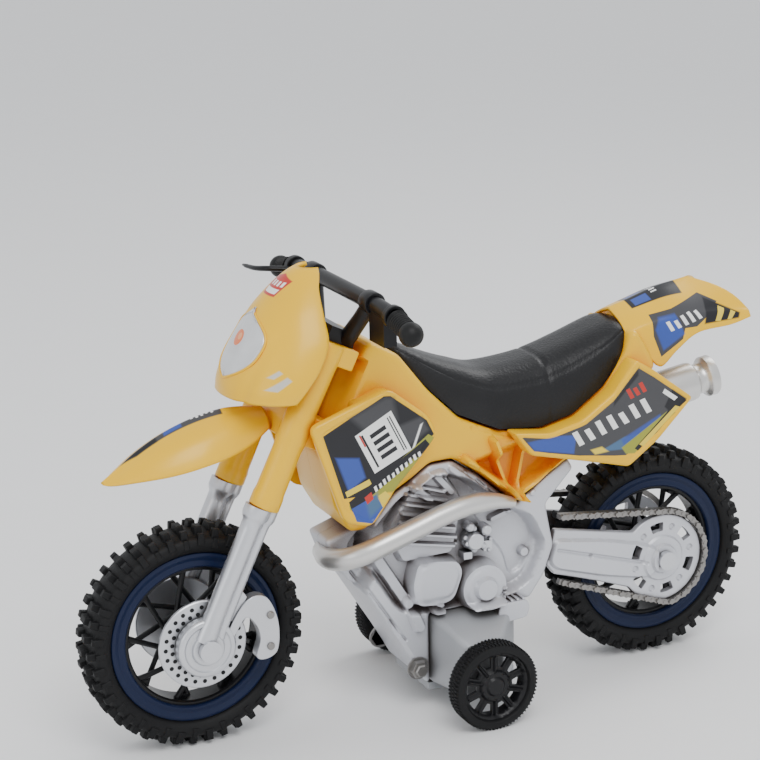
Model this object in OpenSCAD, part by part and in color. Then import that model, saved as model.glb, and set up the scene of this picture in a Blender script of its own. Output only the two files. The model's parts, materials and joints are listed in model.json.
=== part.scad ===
// Moulded toy dirt bike with steering, rolling wheels and a friction drive.
// +X is forward, +Y is the rider's left, +Z is up; the origin is on the ground midway between the axles.
// All sizes are in millimetres. Each piece is one module, and each module is one node.

/* [Wheels] */
// Radius of both big tyres over the lugs
wheel_r = 44; // [38:1:50]
// Distance between the two wheel axles
wheelbase = 200; // [180:1:220]
// Width of the big tyres
tyre_w = 20; // [14:1:22]
// Number of lugs round a big tyre, on each side
lugs = 36; // [24:1:48]
// Outer radius of the coloured rim ring
rim_r = 33.5; // [30:0.5:36]
// Inner radius of the coloured rim ring
rim_in = 27.5; // [24:0.5:29]
// Number of spoke pairs in a big wheel
spoke_pairs = 9; // [6:1:12]
// Radius of the steel axles
axle_r = 1.5; // [1:0.1:2]
// Radial running clearance of every turning pin
run = 0.05; // [0.02:0.01:0.1]

/* [Fork] */
// Lean of the fork from upright, in degrees
rake = 25.8; // [20:0.1:30]
// Half the distance between the two fork legs
leg_y = 18; // [16:0.5:20]
// Radius of a silver lower leg
leg_r = 5.5; // [4:0.1:6]
// Radius of a coloured fork sleeve
sleeve_r = 6; // [5:0.1:7]
// Height of the sleeve's lower end above the axle, along the leg
sleeve_z = 57; // [50:1:64]
// How far the steering pin sits behind the legs
steer_back = 6; // [4:0.5:9]
// Radius of the steering pin
steer_r = 3; // [2:0.1:4]
// Radius of the front discs
disc_r = 17.5; // [14:0.5:20]

/* [Handlebar] */
// Half the width of the handlebar over the ball ends
bar_half = 66; // [50:1:75]
// Radius of the bar
bar_r = 3; // [2:0.1:4]
// Radius of the grips
grip_r = 4; // [3:0.1:5]

/* [Body] */
// Wall of the moulded shells
wall = 2; // [1.5:0.1:3]
// Half the width of the frame under the seat
frame_y = 19; // [16:0.5:22]
// Outer face of the side panels and shrouds
panel_y = 27; // [24:0.5:29]
// Outer face of the engine sides
engine_y = 18; // [15:0.5:20]

/* [Rear] */
// Radius of the sprocket cover on the rear axle
sprocket_r = 18.7; // [16:0.1:20]
// Inner face of the swingarm
arm_in = 12.6; // [11.5:0.1:13]
// Outer radius of the silencer
muffler_r = 8; // [6:0.1:9]

/* [Friction drive] */
// Radius of the small drive wheels
drive_r = 17.7; // [15:0.1:20]
// Outer face of the small drive wheels
drive_y = 48.5; // [44:0.5:52]
// Teeth of the gear on the drive axle
gear_a = 28; // [24:1:32]
// Teeth of the small idler gear
gear_b = 10; // [9:1:12]
// Teeth of the large idler gear
gear_c = 30; // [24:1:34]
// Teeth of the flywheel pinion
gear_d = 10; // [9:1:12]
// Module of the first gear pair
mod_1 = 0.6; // [0.5:0.05:0.8]
// Module of the second gear pair
mod_2 = 0.5; // [0.4:0.05:0.7]

/* [Hidden] */
$fn = 48;
half = wheelbase / 2;
leg_top = sleeve_z + 9;
drive_x = -6.9;
spread = 0.12;
dist_1 = mod_1 * (gear_a + gear_b) / 2 + spread;
dist_2 = mod_2 * (gear_c + gear_d) / 2 + spread;
idler_dir = 100;
fly_dir = 200;
idler_x = drive_x + dist_1 * cos(idler_dir);
idler_z = drive_r + dist_1 * sin(idler_dir);
fly_x = idler_x + dist_2 * cos(fly_dir);
fly_z = idler_z + dist_2 * sin(fly_dir);
button_x = -15.5;
button_z = 48;

header_route = [
  [42.5, -2, 66], [45, 5, 66.5], [44.5, 12, 67.3], [41, 18.5, 69.3], [35, 22.4, 72], [26, 24, 75.5],
  [15, 24.2, 79], [4, 24.2, 82.4], [-7, 24, 84.6], [-18, 23, 84.2], [-28, 21.4, 81.6]
];

// ---------- helpers ----------

// An outline drawn in X and Z, made solid from y0 to y1.
module slab(y0, y1) {
  translate([0, y1, 0]) rotate([90, 0, 0]) linear_extrude(y1 - y0) children();
}

// The same piece on the other side of the bike.
module other_side() {
  mirror([0, 1, 0]) children();
}

// A disc or ring section turned about the Y axis through (x, z).
module about_y(x, z) {
  translate([x, 0, z]) rotate([-90, 0, 0]) children();
}

// A pin along Y from y0 to y1.
module pin_y(x, z, y0, y1, r) {
  translate([x, y0, z]) rotate([-90, 0, 0]) cylinder(h = y1 - y0, r = r);
}

// A straight round rod between two points.
module rod(p, q, r) {
  v = q - p;
  len = norm(v);
  translate(p) rotate([0, acos(v[2] / len), atan2(v[1], v[0])]) cylinder(h = len, r = r);
}

// The leaning frame of the fork: origin on the axle, z up along the legs.
module fork_frame() {
  translate([half, 0, wheel_r]) rotate([0, -rake, 0]) children();
}

// A closed skin through rings of points that all have the same count.
module loft(rings) {
  n = len(rings[0]);
  m = len(rings);
  points = [for (ring = rings) for (p = ring) p];
  sides = [for (k = [0:m - 2]) for (i = [0:n - 1])
    [k * n + i, (k + 1) * n + i, (k + 1) * n + (i + 1) % n, k * n + (i + 1) % n]];
  first = [for (i = [0:n - 1]) i];
  last = [for (i = [0:n - 1]) m * n - 1 - i];
  polyhedron(points = points, faces = concat([first], sides, [last]), convexity = 6);
}

// A closed curved sheet through rings made of an outer row and an inner row of points.
module loft_sheet(rings) {
  n = len(rings[0]);
  h = n / 2;
  m = len(rings);
  points = [for (ring = rings) for (p = ring) p];
  sides = [for (k = [0:m - 2]) for (i = [0:n - 1])
    [k * n + i, (k + 1) * n + i, (k + 1) * n + (i + 1) % n, k * n + (i + 1) % n]];
  first = [for (i = [0:h - 2]) [i, i + 1, n - 2 - i, n - 1 - i]];
  top = (m - 1) * n;
  last = [for (i = [0:h - 2]) [top + i + 1, top + i, top + n - 1 - i, top + n - 2 - i]];
  polyhedron(points = points, faces = concat(first, sides, last), convexity = 6);
}

// Arch height at part u of the half width: 1 at the middle, 0 at the edge.
function arch(u, power) = 1 - pow(abs(u), power);

// Ring of a curved sheet across the bike at x: middle height, edge height, half width, thickness.
// The edges lie further back than the middle by the given amount.
function sheet_ring(x, back, zm, ze, w, t, power) =
  let (n = 10)
  concat(
    [for (i = [0:n]) let (u = 1 - 2 * i / n) [x - back * abs(u), w * u, ze + (zm - ze) * arch(u, power)]],
    [for (i = [0:n]) let (u = -1 + 2 * i / n) [x - back * abs(u), w * u, ze - t + (zm - ze) * arch(u, power)]]
  );

// Ring of a full arched body across the bike at x, flat underneath.
function pad_ring(x, zm, ze, w, power) =
  let (n = 12)
  [for (i = [0:n]) let (u = cos(180 * i / n)) [x, w * u, ze + (zm - ze) * arch(u, power) * 0.999 + (i == 0 || i == n ? 0 : 0.01)]];

// Ring of the cowl at height z: nose, rear edge, half width, wall.
function cowl_ring(z, xf, xr, w, t) =
  let (n = 12)
  concat(
    [for (i = [0:n]) let (a = -90 + 180 * i / n) [xr + (xf - xr) * cos(a), w * sin(a), z]],
    [for (i = [0:n]) let (a = 90 - 180 * i / n) [xr + (xf - xr - t) * cos(a), (w - t) * sin(a), z]]
  );

// Ring k of a round tube that follows a route: square to the route, with twelve sides.
function tube_ring(route, k, r) =
  let (
    last = len(route) - 1,
    d = route[min(k + 1, last)] - route[max(k - 1, 0)],
    w = d / norm(d),
    u = cross([0, 0, 1], w) / norm(cross([0, 0, 1], w)),
    v = cross(w, u)
  )
  [for (i = [0:11]) route[k] + r * (cos(i * 30) * u + sin(i * 30) * v)];

// One spur gear drawn flat: straight flanked teeth with rounded play at the roots.
module gear_2d(teeth, mod, bore) {
  pitch = teeth * mod / 2;
  difference() {
    union() {
      circle(r = pitch - 1.25 * mod);
      for (i = [0:teeth - 1])
        rotate(i * 360 / teeth)
          polygon([for (p = gear_tooth(teeth, mod)) p]);
    }
    circle(r = bore);
  }
}

// Involute angle, in degrees, at radius r on a base circle of radius b.
function inv_at(r, b) = r <= b ? 0 : sqrt(r * r / (b * b) - 1) * 180 / PI - acos(b / r);

// Outline of one tooth about the +x direction, thinned for play.
function gear_tooth(teeth, mod) =
  let (
    pitch = teeth * mod / 2,
    base = pitch * cos(20),
    root = pitch - 1.3 * mod,
    tip = pitch + 0.9 * mod,
    half_angle = 90 / teeth + inv_at(pitch, base) - 0.045 * 180 / PI / pitch,
    low = max(base, root),
    steps = 4,
    side = [for (i = [0:steps]) let (r = low + (tip - low) * i / steps) [r, half_angle - inv_at(r, base)]]
  )
  concat(
    [[root * 0.9, 0]],
    [[root * cos(-half_angle), root * sin(-half_angle)]],
    [for (s = side) [s[0] * cos(s[1]), -s[0] * sin(s[1])]],
    [for (i = [0:steps]) let (s = side[steps - i]) [s[0] * cos(s[1]), s[0] * sin(s[1])]],
    [[root * cos(half_angle), root * sin(half_angle)]]
  );

// ---------- big wheels ----------

// Knobby tyre about the Z axis: a hollow carcass with grooves cut between the lugs.
module tyre() {
  w = tyre_w / 2;
  rotate([-90, 0, 0]) difference() {
    rotate_extrude() polygon([
      [rim_r, -w * 0.6], [rim_r + 3.5, -w * 0.88], [wheel_r - 5, -w], [wheel_r - 2.2, -w * 0.9],
      [wheel_r - 0.6, -w * 0.55], [wheel_r, -w * 0.2], [wheel_r, w * 0.2], [wheel_r - 0.6, w * 0.55],
      [wheel_r - 2.2, w * 0.9], [wheel_r - 5, w], [rim_r + 3.5, w * 0.88], [rim_r, w * 0.6],
      [rim_r, w * 0.4], [rim_r + 2.5, w * 0.6], [wheel_r - 6.5, w * 0.5], [wheel_r - 6.5, -w * 0.5],
      [rim_r + 2.5, -w * 0.6], [rim_r, -w * 0.4]
    ]);
    for (i = [0:lugs - 1]) {
      rotate(i * 360 / lugs) translate([wheel_r - 3.2, -1.3, w * 0.12]) cube([6, 2.6, w]);
      rotate((i + 0.5) * 360 / lugs) translate([wheel_r - 3.2, -1.3, -w * 1.12]) cube([6, 2.6, w]);
    }
  }
}

// Coloured ring between the spokes and the tyre.
module rim() {
  rotate([-90, 0, 0]) rotate_extrude()
    polygon([[rim_in, -4.5], [rim_r, -6], [rim_r, 6], [rim_in, 4.5]]);
}

// Black hub, spokes and inner hoop moulded as one.
module spokes() {
  difference() {
    rotate([-90, 0, 0]) union() {
      translate([0, 0, -11.5]) cylinder(h = 23, r = 4.5);
      translate([0, 0, -5]) cylinder(h = 10, r = 8.6);
      rotate_extrude() translate([rim_in - 1.4, -4.2]) square([1.4, 8.4]);
      for (i = [0:spoke_pairs - 1]) for (s = [-1, 1])
        rotate(i * 360 / spoke_pairs)
          rod([8 * cos(67.7 * s), -8 * sin(67.7 * s), 2.8 * s], [(rim_in - 0.7) * cos(6 * s), (rim_in - 0.7) * sin(6 * s), 0.9 * s], 1.1);
    }
    pin_y(0, 0, -14, 14, axle_r + run);
  }
}

module front_tyre() { color("#1b1b1d") translate([half, 0, wheel_r]) tyre(); }
module front_rim() { color("#1c2f5c") translate([half, 0, wheel_r]) rim(); }
module front_spokes() { color("#18181a") translate([half, 0, wheel_r]) spokes(); }
module rear_tyre() { color("#1b1b1d") translate([-half, 0, wheel_r]) tyre(); }
module rear_rim() { color("#1c2f5c") translate([-half, 0, wheel_r]) rim(); }
module rear_spokes() { color("#18181a") translate([-half, 0, wheel_r]) spokes(); }

// ---------- fork, steering and front end ----------

// Yellow yoke: two sleeves, a lower crown and an upper crown, bored for the pin and the legs.
module fork_yoke() {
  color("#f7c600") fork_frame() difference() {
    union() {
      for (s = [-1, 1]) {
        translate([0, s * leg_y, sleeve_z]) cylinder(h = 60, r = sleeve_r);
        translate([-7, s > 0 ? leg_y - 6 : -leg_y - 4.8, 104]) cube([13, 10.8, 20]);
      }
      translate([-13, -leg_y, 84]) cube([18, 2 * leg_y, 11.5]);
      translate([-13, -leg_y, 116]) cube([18, 2 * leg_y, 8]);
    }
    translate([-steer_back, 0, 80]) cylinder(h = 60, r = steer_r);
    for (s = [-1, 1])
      translate([0, s * leg_y, sleeve_z - 1]) cylinder(h = leg_top - sleeve_z + 1, r = leg_r);
  }
}

// Silver lower leg on the left: tube, rear fin, axle boss and the caliper block behind it.
module leg() {
  fork_frame() difference() {
    union() {
      translate([0, leg_y, 0]) cylinder(h = leg_top, r = leg_r);
      translate([0, leg_y - 3.5, 0]) rotate([-90, 0, 0]) cylinder(h = 6.5, r = 11.5);
      translate([0, leg_y - 3.4, 0]) rotate([90, 0, 0]) translate([0, 0, -4.4]) linear_extrude(4.4) rotate(-rake)
        polygon([[-8, 4], [-18, 17], [-24, 17], [-28.5, 8], [-29, 0], [-27, -7], [-22, -8], [-8, -4]]);
    }
    translate([-20, leg_y + 3, -12]) cube([40, 10, 22]);
    translate([0, 10, 0]) rotate([-90, 0, 0]) cylinder(h = leg_y - 3.5 - 10, r = disc_r + 0.2);
    translate([0, 0, 0]) rotate([-90, 0, 0]) cylinder(h = 40, r = axle_r);
  }
}
module fork_leg_left() { color("#c9cbce") leg(); }
module fork_leg_right() { color("#c9cbce") other_side() leg(); }

// Drilled front disc, fixed to the leg.
module disc() {
  translate([half, leg_y - 5.5, wheel_r]) rotate([-90, 0, 0]) difference() {
    cylinder(h = 2, r = disc_r);
    translate([0, 0, -1]) cylinder(h = 4, r = axle_r);
    for (i = [0:23]) {
      rotate(i * 15) translate([disc_r - 3, 0, -1]) cylinder(h = 4, r = 0.9, $fn = 16);
      rotate(i * 15 + 7.5) translate([disc_r - 6.2, 0, -1]) cylinder(h = 4, r = 0.8, $fn = 16);
    }
  }
}
module brake_disc_left() { color("#d3d5d7") disc(); }
module brake_disc_right() { color("#d3d5d7") other_side() disc(); }

// Front mudguard: an arched sheet that ends in a pointed tip.
module front_fender() {
  color("#f7c600") loft_sheet([
    sheet_ring(67.5, 0, 130.2, 127.6, 9, wall, 2),
    sheet_ring(76, 0, 130.9, 125.0, 11.5, wall, 2),
    sheet_ring(86, 0, 130.3, 119.0, 15, wall, 2),
    sheet_ring(97, 0, 128.0, 115.5, 16, wall, 2),
    sheet_ring(108, 0, 124.0, 113.0, 14.5, wall, 2),
    sheet_ring(118, 0, 118.6, 111.6, 11, wall, 2),
    sheet_ring(126, 0, 112.8, 110.2, 6.5, wall, 2),
    sheet_ring(131.5, 0, 109.0, 108.6, 1.5, wall * 0.6, 2)
  ]);
}

// Shell shared by the cowl and the lens that closes its window.
module cowl_shell() {
  loft_sheet([
    cowl_ring(136, 83.5, 64, 27.5, wall),
    cowl_ring(141, 82.8, 60, 28.4, wall),
    cowl_ring(148, 80.2, 54.5, 28.0, wall),
    cowl_ring(157, 75.0, 49.8, 25.5, wall),
    cowl_ring(166, 69.0, 49.4, 20.0, wall),
    cowl_ring(174, 61.5, 48.6, 13.5, wall),
    cowl_ring(181.5, 52.0, 45.0, 6.5, wall)
  ]);
}

// Pointed oval window, drawn from the front and made solid along the bike.
module lens_window(grow) {
  translate([56, 0, 158.5]) rotate([90, 0, 90]) linear_extrude(40) intersection() {
    translate([2, 0]) circle(r = 13 + grow);
    translate([-2, 0]) circle(r = 13 + grow);
  }
}

// Headlight cowl: a curved shield in front of the bar, held by two arms on the sleeves.
module headlight_cowl() {
  color("#f7c600") difference() {
    cowl_shell();
    lens_window(0);
  }
  color("#f7c600") fork_frame() for (s = [-1, 1])
    translate([6, s * leg_y - 2, 106]) cube([14.6, 4, 4]);
}

// Lens that sits flush in the cowl's window.
module headlight_lens() {
  color("#e6e9ec") intersection() {
    cowl_shell();
    lens_window(-0.05);
  }
}

// Small amber lamp behind the lens.
module lamp() {
  color("#f08020") translate([65.5, 0, 157]) rotate([0, 90, 0]) cylinder(h = 4, r = 3);
}

// Black bar with its clamp block and two control housings.
module handlebar() {
  z1 = 171;
  color("#161618") difference() {
    union() {
      rod([33, -32, z1], [33, 32, z1], bar_r);
      for (s = [-1, 1]) {
        rod([33, s * 30, z1], [33, s * 47, 169.6], bar_r * 0.95);
        rod([33, s * 45, 169.8], [33.3, s * (bar_half - 4), 166.6], bar_r * 0.9);
        translate([30.5, s * 36 - 7, 157]) cube([5, 14, 13]);
        rod([38, s * 13, 154], [33, s * 27, z1], 3.4);
      }
      fork_frame() translate([-11, -16, 124]) cube([12, 32, 6]);
    }
    fork_frame() translate([-steer_back, 0, 110]) cylinder(h = 30, r = steer_r);
  }
}

// Rubber grip with a ball end.
module grip() {
  difference() {
    union() {
      rod([33.1, 50, 168.85], [33.3, bar_half - 4, 166.6], grip_r);
      translate([33.3, bar_half - 5, 166.6]) sphere(r = 5);
    }
    rod([33, 45, 169.8], [33.3, bar_half - 4, 166.6], bar_r * 0.9);
  }
}
module grip_left() { color("#1d1d1f") grip(); }
module grip_right() { color("#1d1d1f") other_side() grip(); }

// Thin hand lever in front of the right grip.
module lever() {
  difference() {
    union() {
      rod([36, 44, 169.5], [45, 47, 170], 1.4);
      rod([45, 46.5, 170], [48, bar_half - 2, 168.5], 1.3);
    }
    rod([33, 30, 171], [33, 47, 169.6], bar_r * 0.95);
    rod([33, 45, 169.8], [33.3, bar_half - 4, 166.6], bar_r * 0.9);
  }
}
module hand_lever() { color("#161618") other_side() lever(); }

module front_axle() { color("#b8babd") pin_y(half, wheel_r, -leg_y - 4, leg_y + 4, axle_r); }

// Domed caps that cover the axle ends.
module front_axle_caps() {
  color("#c9cbce") for (s = [0, 1]) mirror([0, s, 0]) difference() {
    pin_y(half, wheel_r, leg_y + 3, leg_y + 5.4, 4.2);
    pin_y(half, wheel_r, leg_y, leg_y + 4, axle_r);
  }
}

module steering_pin() {
  color("#b8babd") fork_frame() translate([-steer_back, 0, 84]) cylinder(h = 45, r = steer_r);
}

// ---------- frame, seat and tail ----------

// Side outline of the frame's middle, from the head to under the tail.
module frame_outline() {
  polygon([
    [38, 142.3], [30, 154], [18, 147], [6, 131.5], [-7, 118.5], [-24, 110.6], [-42, 109], [-56, 112.4],
    [-70, 121.5], [-80, 134], [-82, 142], [-84.5, 142], [-90, 133], [-92.5, 126.5], [-84, 116], [-66, 100],
    [-54.5, 95.7], [-31, 79.7], [-14.5, 94.7], [-3.8, 101.8], [6, 101.6], [14, 96.2], [22, 92],
    [33, 79], [40, 79], [46, 90], [50, 110], [46.3, 125.2]
  ]);
}

// Side outline of the shroud that carries the number plate.
module shroud_outline() {
  polygon([
    [59.5, 126.5], [46.5, 87], [35, 83.5], [24, 98], [7, 116], [10, 124], [27, 137.5]
  ]);
}

// Half of the yellow shell: hollow middle, head boss and a shroud that stands off the fork.
module frame_half() {
  difference() {
    union() {
      slab(0, frame_y) frame_outline();
      slab(frame_y - 0.5, 25.4) intersection() {
        shroud_outline();
        translate([0, 80]) square([40, 60]);
      }
      slab(25.4, 28.4) shroud_outline();
      fork_frame() translate([-steer_back, 0, 96.5]) cylinder(h = 19, r = 7.5);
    }
    slab(-1, frame_y - wall) offset(delta = -wall) frame_outline();
    slab(frame_y - wall - 0.1, 25.4) offset(delta = -wall) intersection() {
      shroud_outline();
      translate([0, 80]) square([40, 60]);
    }
    fork_frame() translate([-17.5, 8.6, 90]) cube([40, 16.6, 30]);
    fork_frame() translate([-steer_back, 0, 90]) cylinder(h = 35, r = steer_r + run);
    fork_frame() translate([-22, -40, 80]) cube([50, 65.2, 16.2]);
    fork_frame() translate([-22, -40, 115.8]) cube([50, 65.2, 40]);
    translate([-100, -60, 0]) cube([200, 60, 200]);
  }
  pin_y(-60, 106, 0, frame_y - 0.5, 3);
  pin_y(24, 112, 0, 26, 3);
  rod([24, 3, 112], [44.8, 3, 131.9], 2.4);
}
module frame_left() { color("#f7c600") frame_half(); }
module frame_right() { color("#f7c600") other_side() frame_half(); }

// Saddle: arched pad on the frame's dip.
module seat() {
  color("#1a1a1c") difference() {
    loft([
      pad_ring(-87, 146.2, 144.2, 13, 2.6),
      pad_ring(-82, 146.5, 137, 16, 2.6),
      pad_ring(-73, 143.5, 122, 18, 2.6),
      pad_ring(-60, 139.4, 111, 19, 2.6),
      pad_ring(-44, 135.2, 106, 19, 2.6),
      pad_ring(-24, 133.8, 106, 18.8, 2.6),
      pad_ring(-12, 137.0, 112, 17.5, 2.6),
      pad_ring(0, 141.6, 122, 14.5, 2.6),
      pad_ring(12, 147.4, 136, 10, 2.6),
      pad_ring(17, 149.0, 146.6, 6, 2.6)
    ]);
    slab(-30, 30) frame_outline();
    slab(-30, 30) polygon([[-100, 60], [-100, 150], [-87.2, 150], [-87.2, 144.2], [-82, 134], [-70, 121.5],
      [-56, 112.4], [-42, 109], [-24, 110.6], [-7, 118.5], [6, 131.5], [18, 147], [18, 160], [60, 160], [60, 60]]);
  }
}

// Rear mudguard: arched sheet that rises to a ridge and ends in two side tips.
module tail_fender() {
  color("#f7c600") loft_sheet([
    sheet_ring(-119, 19.5, 157.5, 142.6, 20.6, wall, 1.6),
    sheet_ring(-113.5, 15, 158.0, 141.0, 20.4, wall, 1.6),
    sheet_ring(-106, 9, 156.3, 137.0, 19.6, wall, 1.6),
    sheet_ring(-98, 3, 153.4, 130.5, 18.2, wall, 1.6),
    sheet_ring(-92.2, 0.5, 151.4, 132, 17.4, wall, 1.6),
    sheet_ring(-87.2, 0, 149.8, 144.6, 16, wall, 1.6)
  ]);
}

// Side panel under the seat, on the outside of the frame.
module panel() {
  difference() {
    slab(frame_y, panel_y) polygon([
      [-26, 111.5], [-33.5, 101], [-54.8, 95.6], [-77.5, 89.6], [-91.2, 99.2], [-107, 114.5],
      [-88.5, 128.5], [-80, 134], [-70, 121.5], [-56, 112.4], [-42, 109.2]
    ]);
    slab(frame_y - 1, panel_y - wall) offset(delta = -wall) polygon([
      [-26, 111.5], [-33.5, 101], [-54.8, 95.6], [-77.5, 89.6], [-91.2, 99.2], [-107, 114.5],
      [-88.5, 128.5], [-80, 134], [-70, 121.5], [-56, 112.4], [-42, 109.2]
    ]);
  }
}
module side_panel_left() { color("#f7c600") panel(); }
module side_panel_right() { color("#f7c600") other_side() panel(); }

// ---------- engine ----------

// Side outline of the silver engine and its cradle.
module engine_outline() {
  polygon([
    [33, 78.8], [47, 74], [43, 63], [32.6, 50.7], [18.2, 27.1], [9, 11], [7, 11], [7, 40],
    [-31, 40], [-37.3, 38], [-44.1, 47.2], [-48.6, 59.2], [-45, 77], [-57.7, 90], [-54.5, 95.5],
    [-31, 79.5], [-14.5, 94.5], [-3.8, 101.6], [6, 101.4], [14, 96], [22, 91.8]
  ]);
}

// Half of the engine shell with raised covers and cooling fins.
module engine_half(right) {
  difference() {
    union() {
      slab(0, engine_y) engine_outline();
      pin_y(button_x, button_z, engine_y - 1, engine_y + 4, 10);
      slab(engine_y - 1, engine_y + 2.5)
        polygon([[16, 52], [12.5, 64], [-5, 61], [-4.5, 45], [14, 43]]);
      for (i = [0:4])
        slab(engine_y - 6, engine_y + 1.2) translate([4, 68 + 4.5 * i]) rotate(14)
          translate([-11, 0]) square([22, 2]);
    }
    slab(-1, engine_y - wall) offset(delta = -wall) engine_outline();
    slab(engine_y - 1.4, engine_y + 3)
      polygon([[-20, 60], [-8, 64], [-12, 78], [-32, 76], [-40, 62], [-27, 57]]);
    if (right) {
      pin_y(button_x, button_z, engine_y - 3, engine_y + 6, 5 + run);
      slab(engine_y - 3, engine_y + 6) translate([-3.2, 45.2]) square([16.4, 15.6]);
    }
    for (x = [30, -38]) pin_y(x, x > 0 ? 62 : 52, -1, right ? 22 : 11, 1.2);
  }
  difference() {
    for (x = [30, -38]) pin_y(x, x > 0 ? 62 : 52, 0, engine_y - wall, 3);
    for (x = [30, -38]) pin_y(x, x > 0 ? 62 : 52, -1, right ? 22 : 11, 1.2);
  }
}
module engine_left() { color("#b9bcc0") engine_half(false); }
module engine_right() { color("#b9bcc0") other_side() engine_half(true); }

// Carburettor body in the recess on the left.
module carburettor() {
  color("#a9acb0") {
    pin_y(-13.8, 67.2, engine_y - 1.4, engine_y + 3.4, 4.0);
    translate([-18.6, engine_y - 1.4, 70]) cube([5.5, 3.6, 4.6]);
  }
}

// Exhaust header: leaves the front of the engine and sweeps back along the left side.
module exhaust_header() {
  color("#c6c4c1") difference() {
    loft([for (k = [0:len(header_route) - 1]) tube_ring(header_route, k, 4.3)]);
    slab(-40, engine_y) engine_outline();
    slab(-40, frame_y) frame_outline();
    slab(engine_y - 2, engine_y + 1.2) for (i = [0:4])
      translate([4, 68 + 4.5 * i]) rotate(14) translate([-11, 0]) square([22, 2]);
  }
}

// Silencer that comes out behind the left panel, with a flared end.
module muffler() {
  p = [-84, 10, 111];
  q = [-124, 12.5, 118.2];
  color("#d6d7d9") difference() {
    union() {
      rod(p, p + 0.82 * (q - p), muffler_r);
      rod(p + 0.8 * (q - p), p + 0.94 * (q - p), muffler_r * 0.78);
      rod(p + 0.92 * (q - p), q, muffler_r * 1.05);
    }
    rod(p + 0.9 * (q - p), p + 1.1 * (q - p), muffler_r * 0.6);
    slab(-40, frame_y + 10) frame_outline();
    panel();
    slab(frame_y, 40) translate([-100, 80]) square([60, 60]);
  }
}

// ---------- rear end ----------

// Outline of one side arm with the sprocket cover at its end.
module arm_outline() {
  difference() {
    union() {
      polygon([[-45, 70], [-45, 47], [-70, 39], [-92, 34], [-92, 56], [-60, 66]]);
      translate([-half, wheel_r]) circle(r = sprocket_r);
    }
    engine_outline();
    for (i = [0:5])
      translate([-half, wheel_r]) rotate(i * 60 + 20) translate([12.5, 0]) square([2.2, 7], center = true);
  }
}

// Silver swingarm side: web, raised spar and the drilled cover that looks like a sprocket.
module arm() {
  difference() {
    union() {
      slab(arm_in, arm_in + 3) arm_outline();
      slab(arm_in + 2.9, arm_in + 4.4) polygon([[-47, 60], [-47, 49], [-72, 42], [-96, 38], [-100, 46], [-96, 50]]);
      pin_y(-half, wheel_r, arm_in, arm_in + 5.5, 5.5);
      slab(2, arm_in + 0.1) translate([-51, 54]) square([5.4, 14]);
    }
    pin_y(-half, wheel_r, 0, 30, axle_r);
    slab(-30, 40) engine_outline();
  }
}
module swingarm_left() { color("#c4c6c9") arm(); }
module swingarm_right() { color("#c4c6c9") other_side() arm(); }

// One closed band of chain links round the arm.
module chain_band(grow) {
  hull() {
    translate([-half, wheel_r]) circle(r = sprocket_r + grow);
    translate([-42, 57.8]) circle(r = 11.5 + grow);
  }
}
module chain() {
  difference() {
    slab(arm_in + 0.6, arm_in + 4.6) difference() {
      chain_band(2.6);
      chain_band(0.3);
    }
    slab(-30, 40) engine_outline();
    slab(-30, 40) translate([-50.5, 30]) square([60, 60]);
  }
}
module chain_left() { color("#b3b5b8") chain(); }
module chain_right() { color("#b3b5b8") other_side() chain(); }

module rear_axle() { color("#b8babd") pin_y(-half, wheel_r, -arm_in - 6.6, arm_in + 6.6, axle_r); }

module rear_axle_caps() {
  color("#c9cbce") for (s = [0, 1]) mirror([0, s, 0]) difference() {
    pin_y(-half, wheel_r, arm_in + 5.5, arm_in + 8, 3.8);
    pin_y(-half, wheel_r, arm_in, arm_in + 6.6, axle_r);
  }
}

// ---------- friction drive ----------

// Grey housing that widens towards the two small wheels.
module gearbox_outer() {
  hull() {
    translate([-31, -16, 10]) cube([37.9, 32, 29.9]);
    translate([-15.5, -37, 10]) cube([17, 74, 23]);
  }
}
module gearbox_shell() {
  color("#a3a6aa") difference() {
    gearbox_outer();
    translate([-29.2, -14, 5]) cube([34.2, 28, 33]);
    translate([-13.5, -34.5, 5]) cube([13, 69, 20]);
    for (s = [0, 1]) mirror([0, s, 0]) pin_y(button_x, button_z, 16, 30, 10.3);
    pin_y(drive_x, drive_r, -50, 50, axle_r + run);
    pin_y(idler_x, idler_z, -16, 15, 1);
    pin_y(fly_x, fly_z, -15.2, 15.2, 1 + run);
  }
}

// Floor plate that the toy can rest on.
module gearbox_floor() {
  color("#8f9296") difference() {
    translate([-31, -15.5, 7]) cube([37.9, 31, 3]);
    for (x = [-27.5, 3.4]) translate([x, 0, 5]) cylinder(h = 6, r = 1.2);
    translate([-13.5, 3, 8.2]) cube([13, 5, 4]);
  }
}

module cradle_bolt() {
  color("#b0b3b6") {
    pin_y(12.6, 18.4, engine_y, engine_y + 2.6, 4);
    pin_y(12.6, 18.4, engine_y + 2.6, engine_y + 4.2, 2.6);
  }
}

module drive_axle() { color("#b8babd") pin_y(drive_x, drive_r, -drive_y + 1.5, drive_y - 1.5, axle_r); }

// Black hubs with ten windows, pressed on the drive axle.
module drive_hub() {
  difference() {
    pin_y(drive_x, drive_r, drive_y - 9, drive_y - 0.6, drive_r - 3.4);
    pin_y(drive_x, drive_r, drive_y - 3, drive_y + 1, drive_r - 5.4);
    pin_y(drive_x, drive_r, drive_y - 12, drive_y + 4, axle_r);
    for (i = [0:9]) translate([drive_x, 0, drive_r]) rotate([0, i * 36, 0])
      pin_y(9.1, 0, drive_y - 12, drive_y + 4, 1.9);
  }
  difference() {
    pin_y(drive_x, drive_r, drive_y - 3, drive_y, 4.6);
    pin_y(drive_x, drive_r, drive_y - 12, drive_y - 1.5, axle_r);
  }
}
module drive_hubs() { color("#141416") { drive_hub(); other_side() drive_hub(); } }

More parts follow.
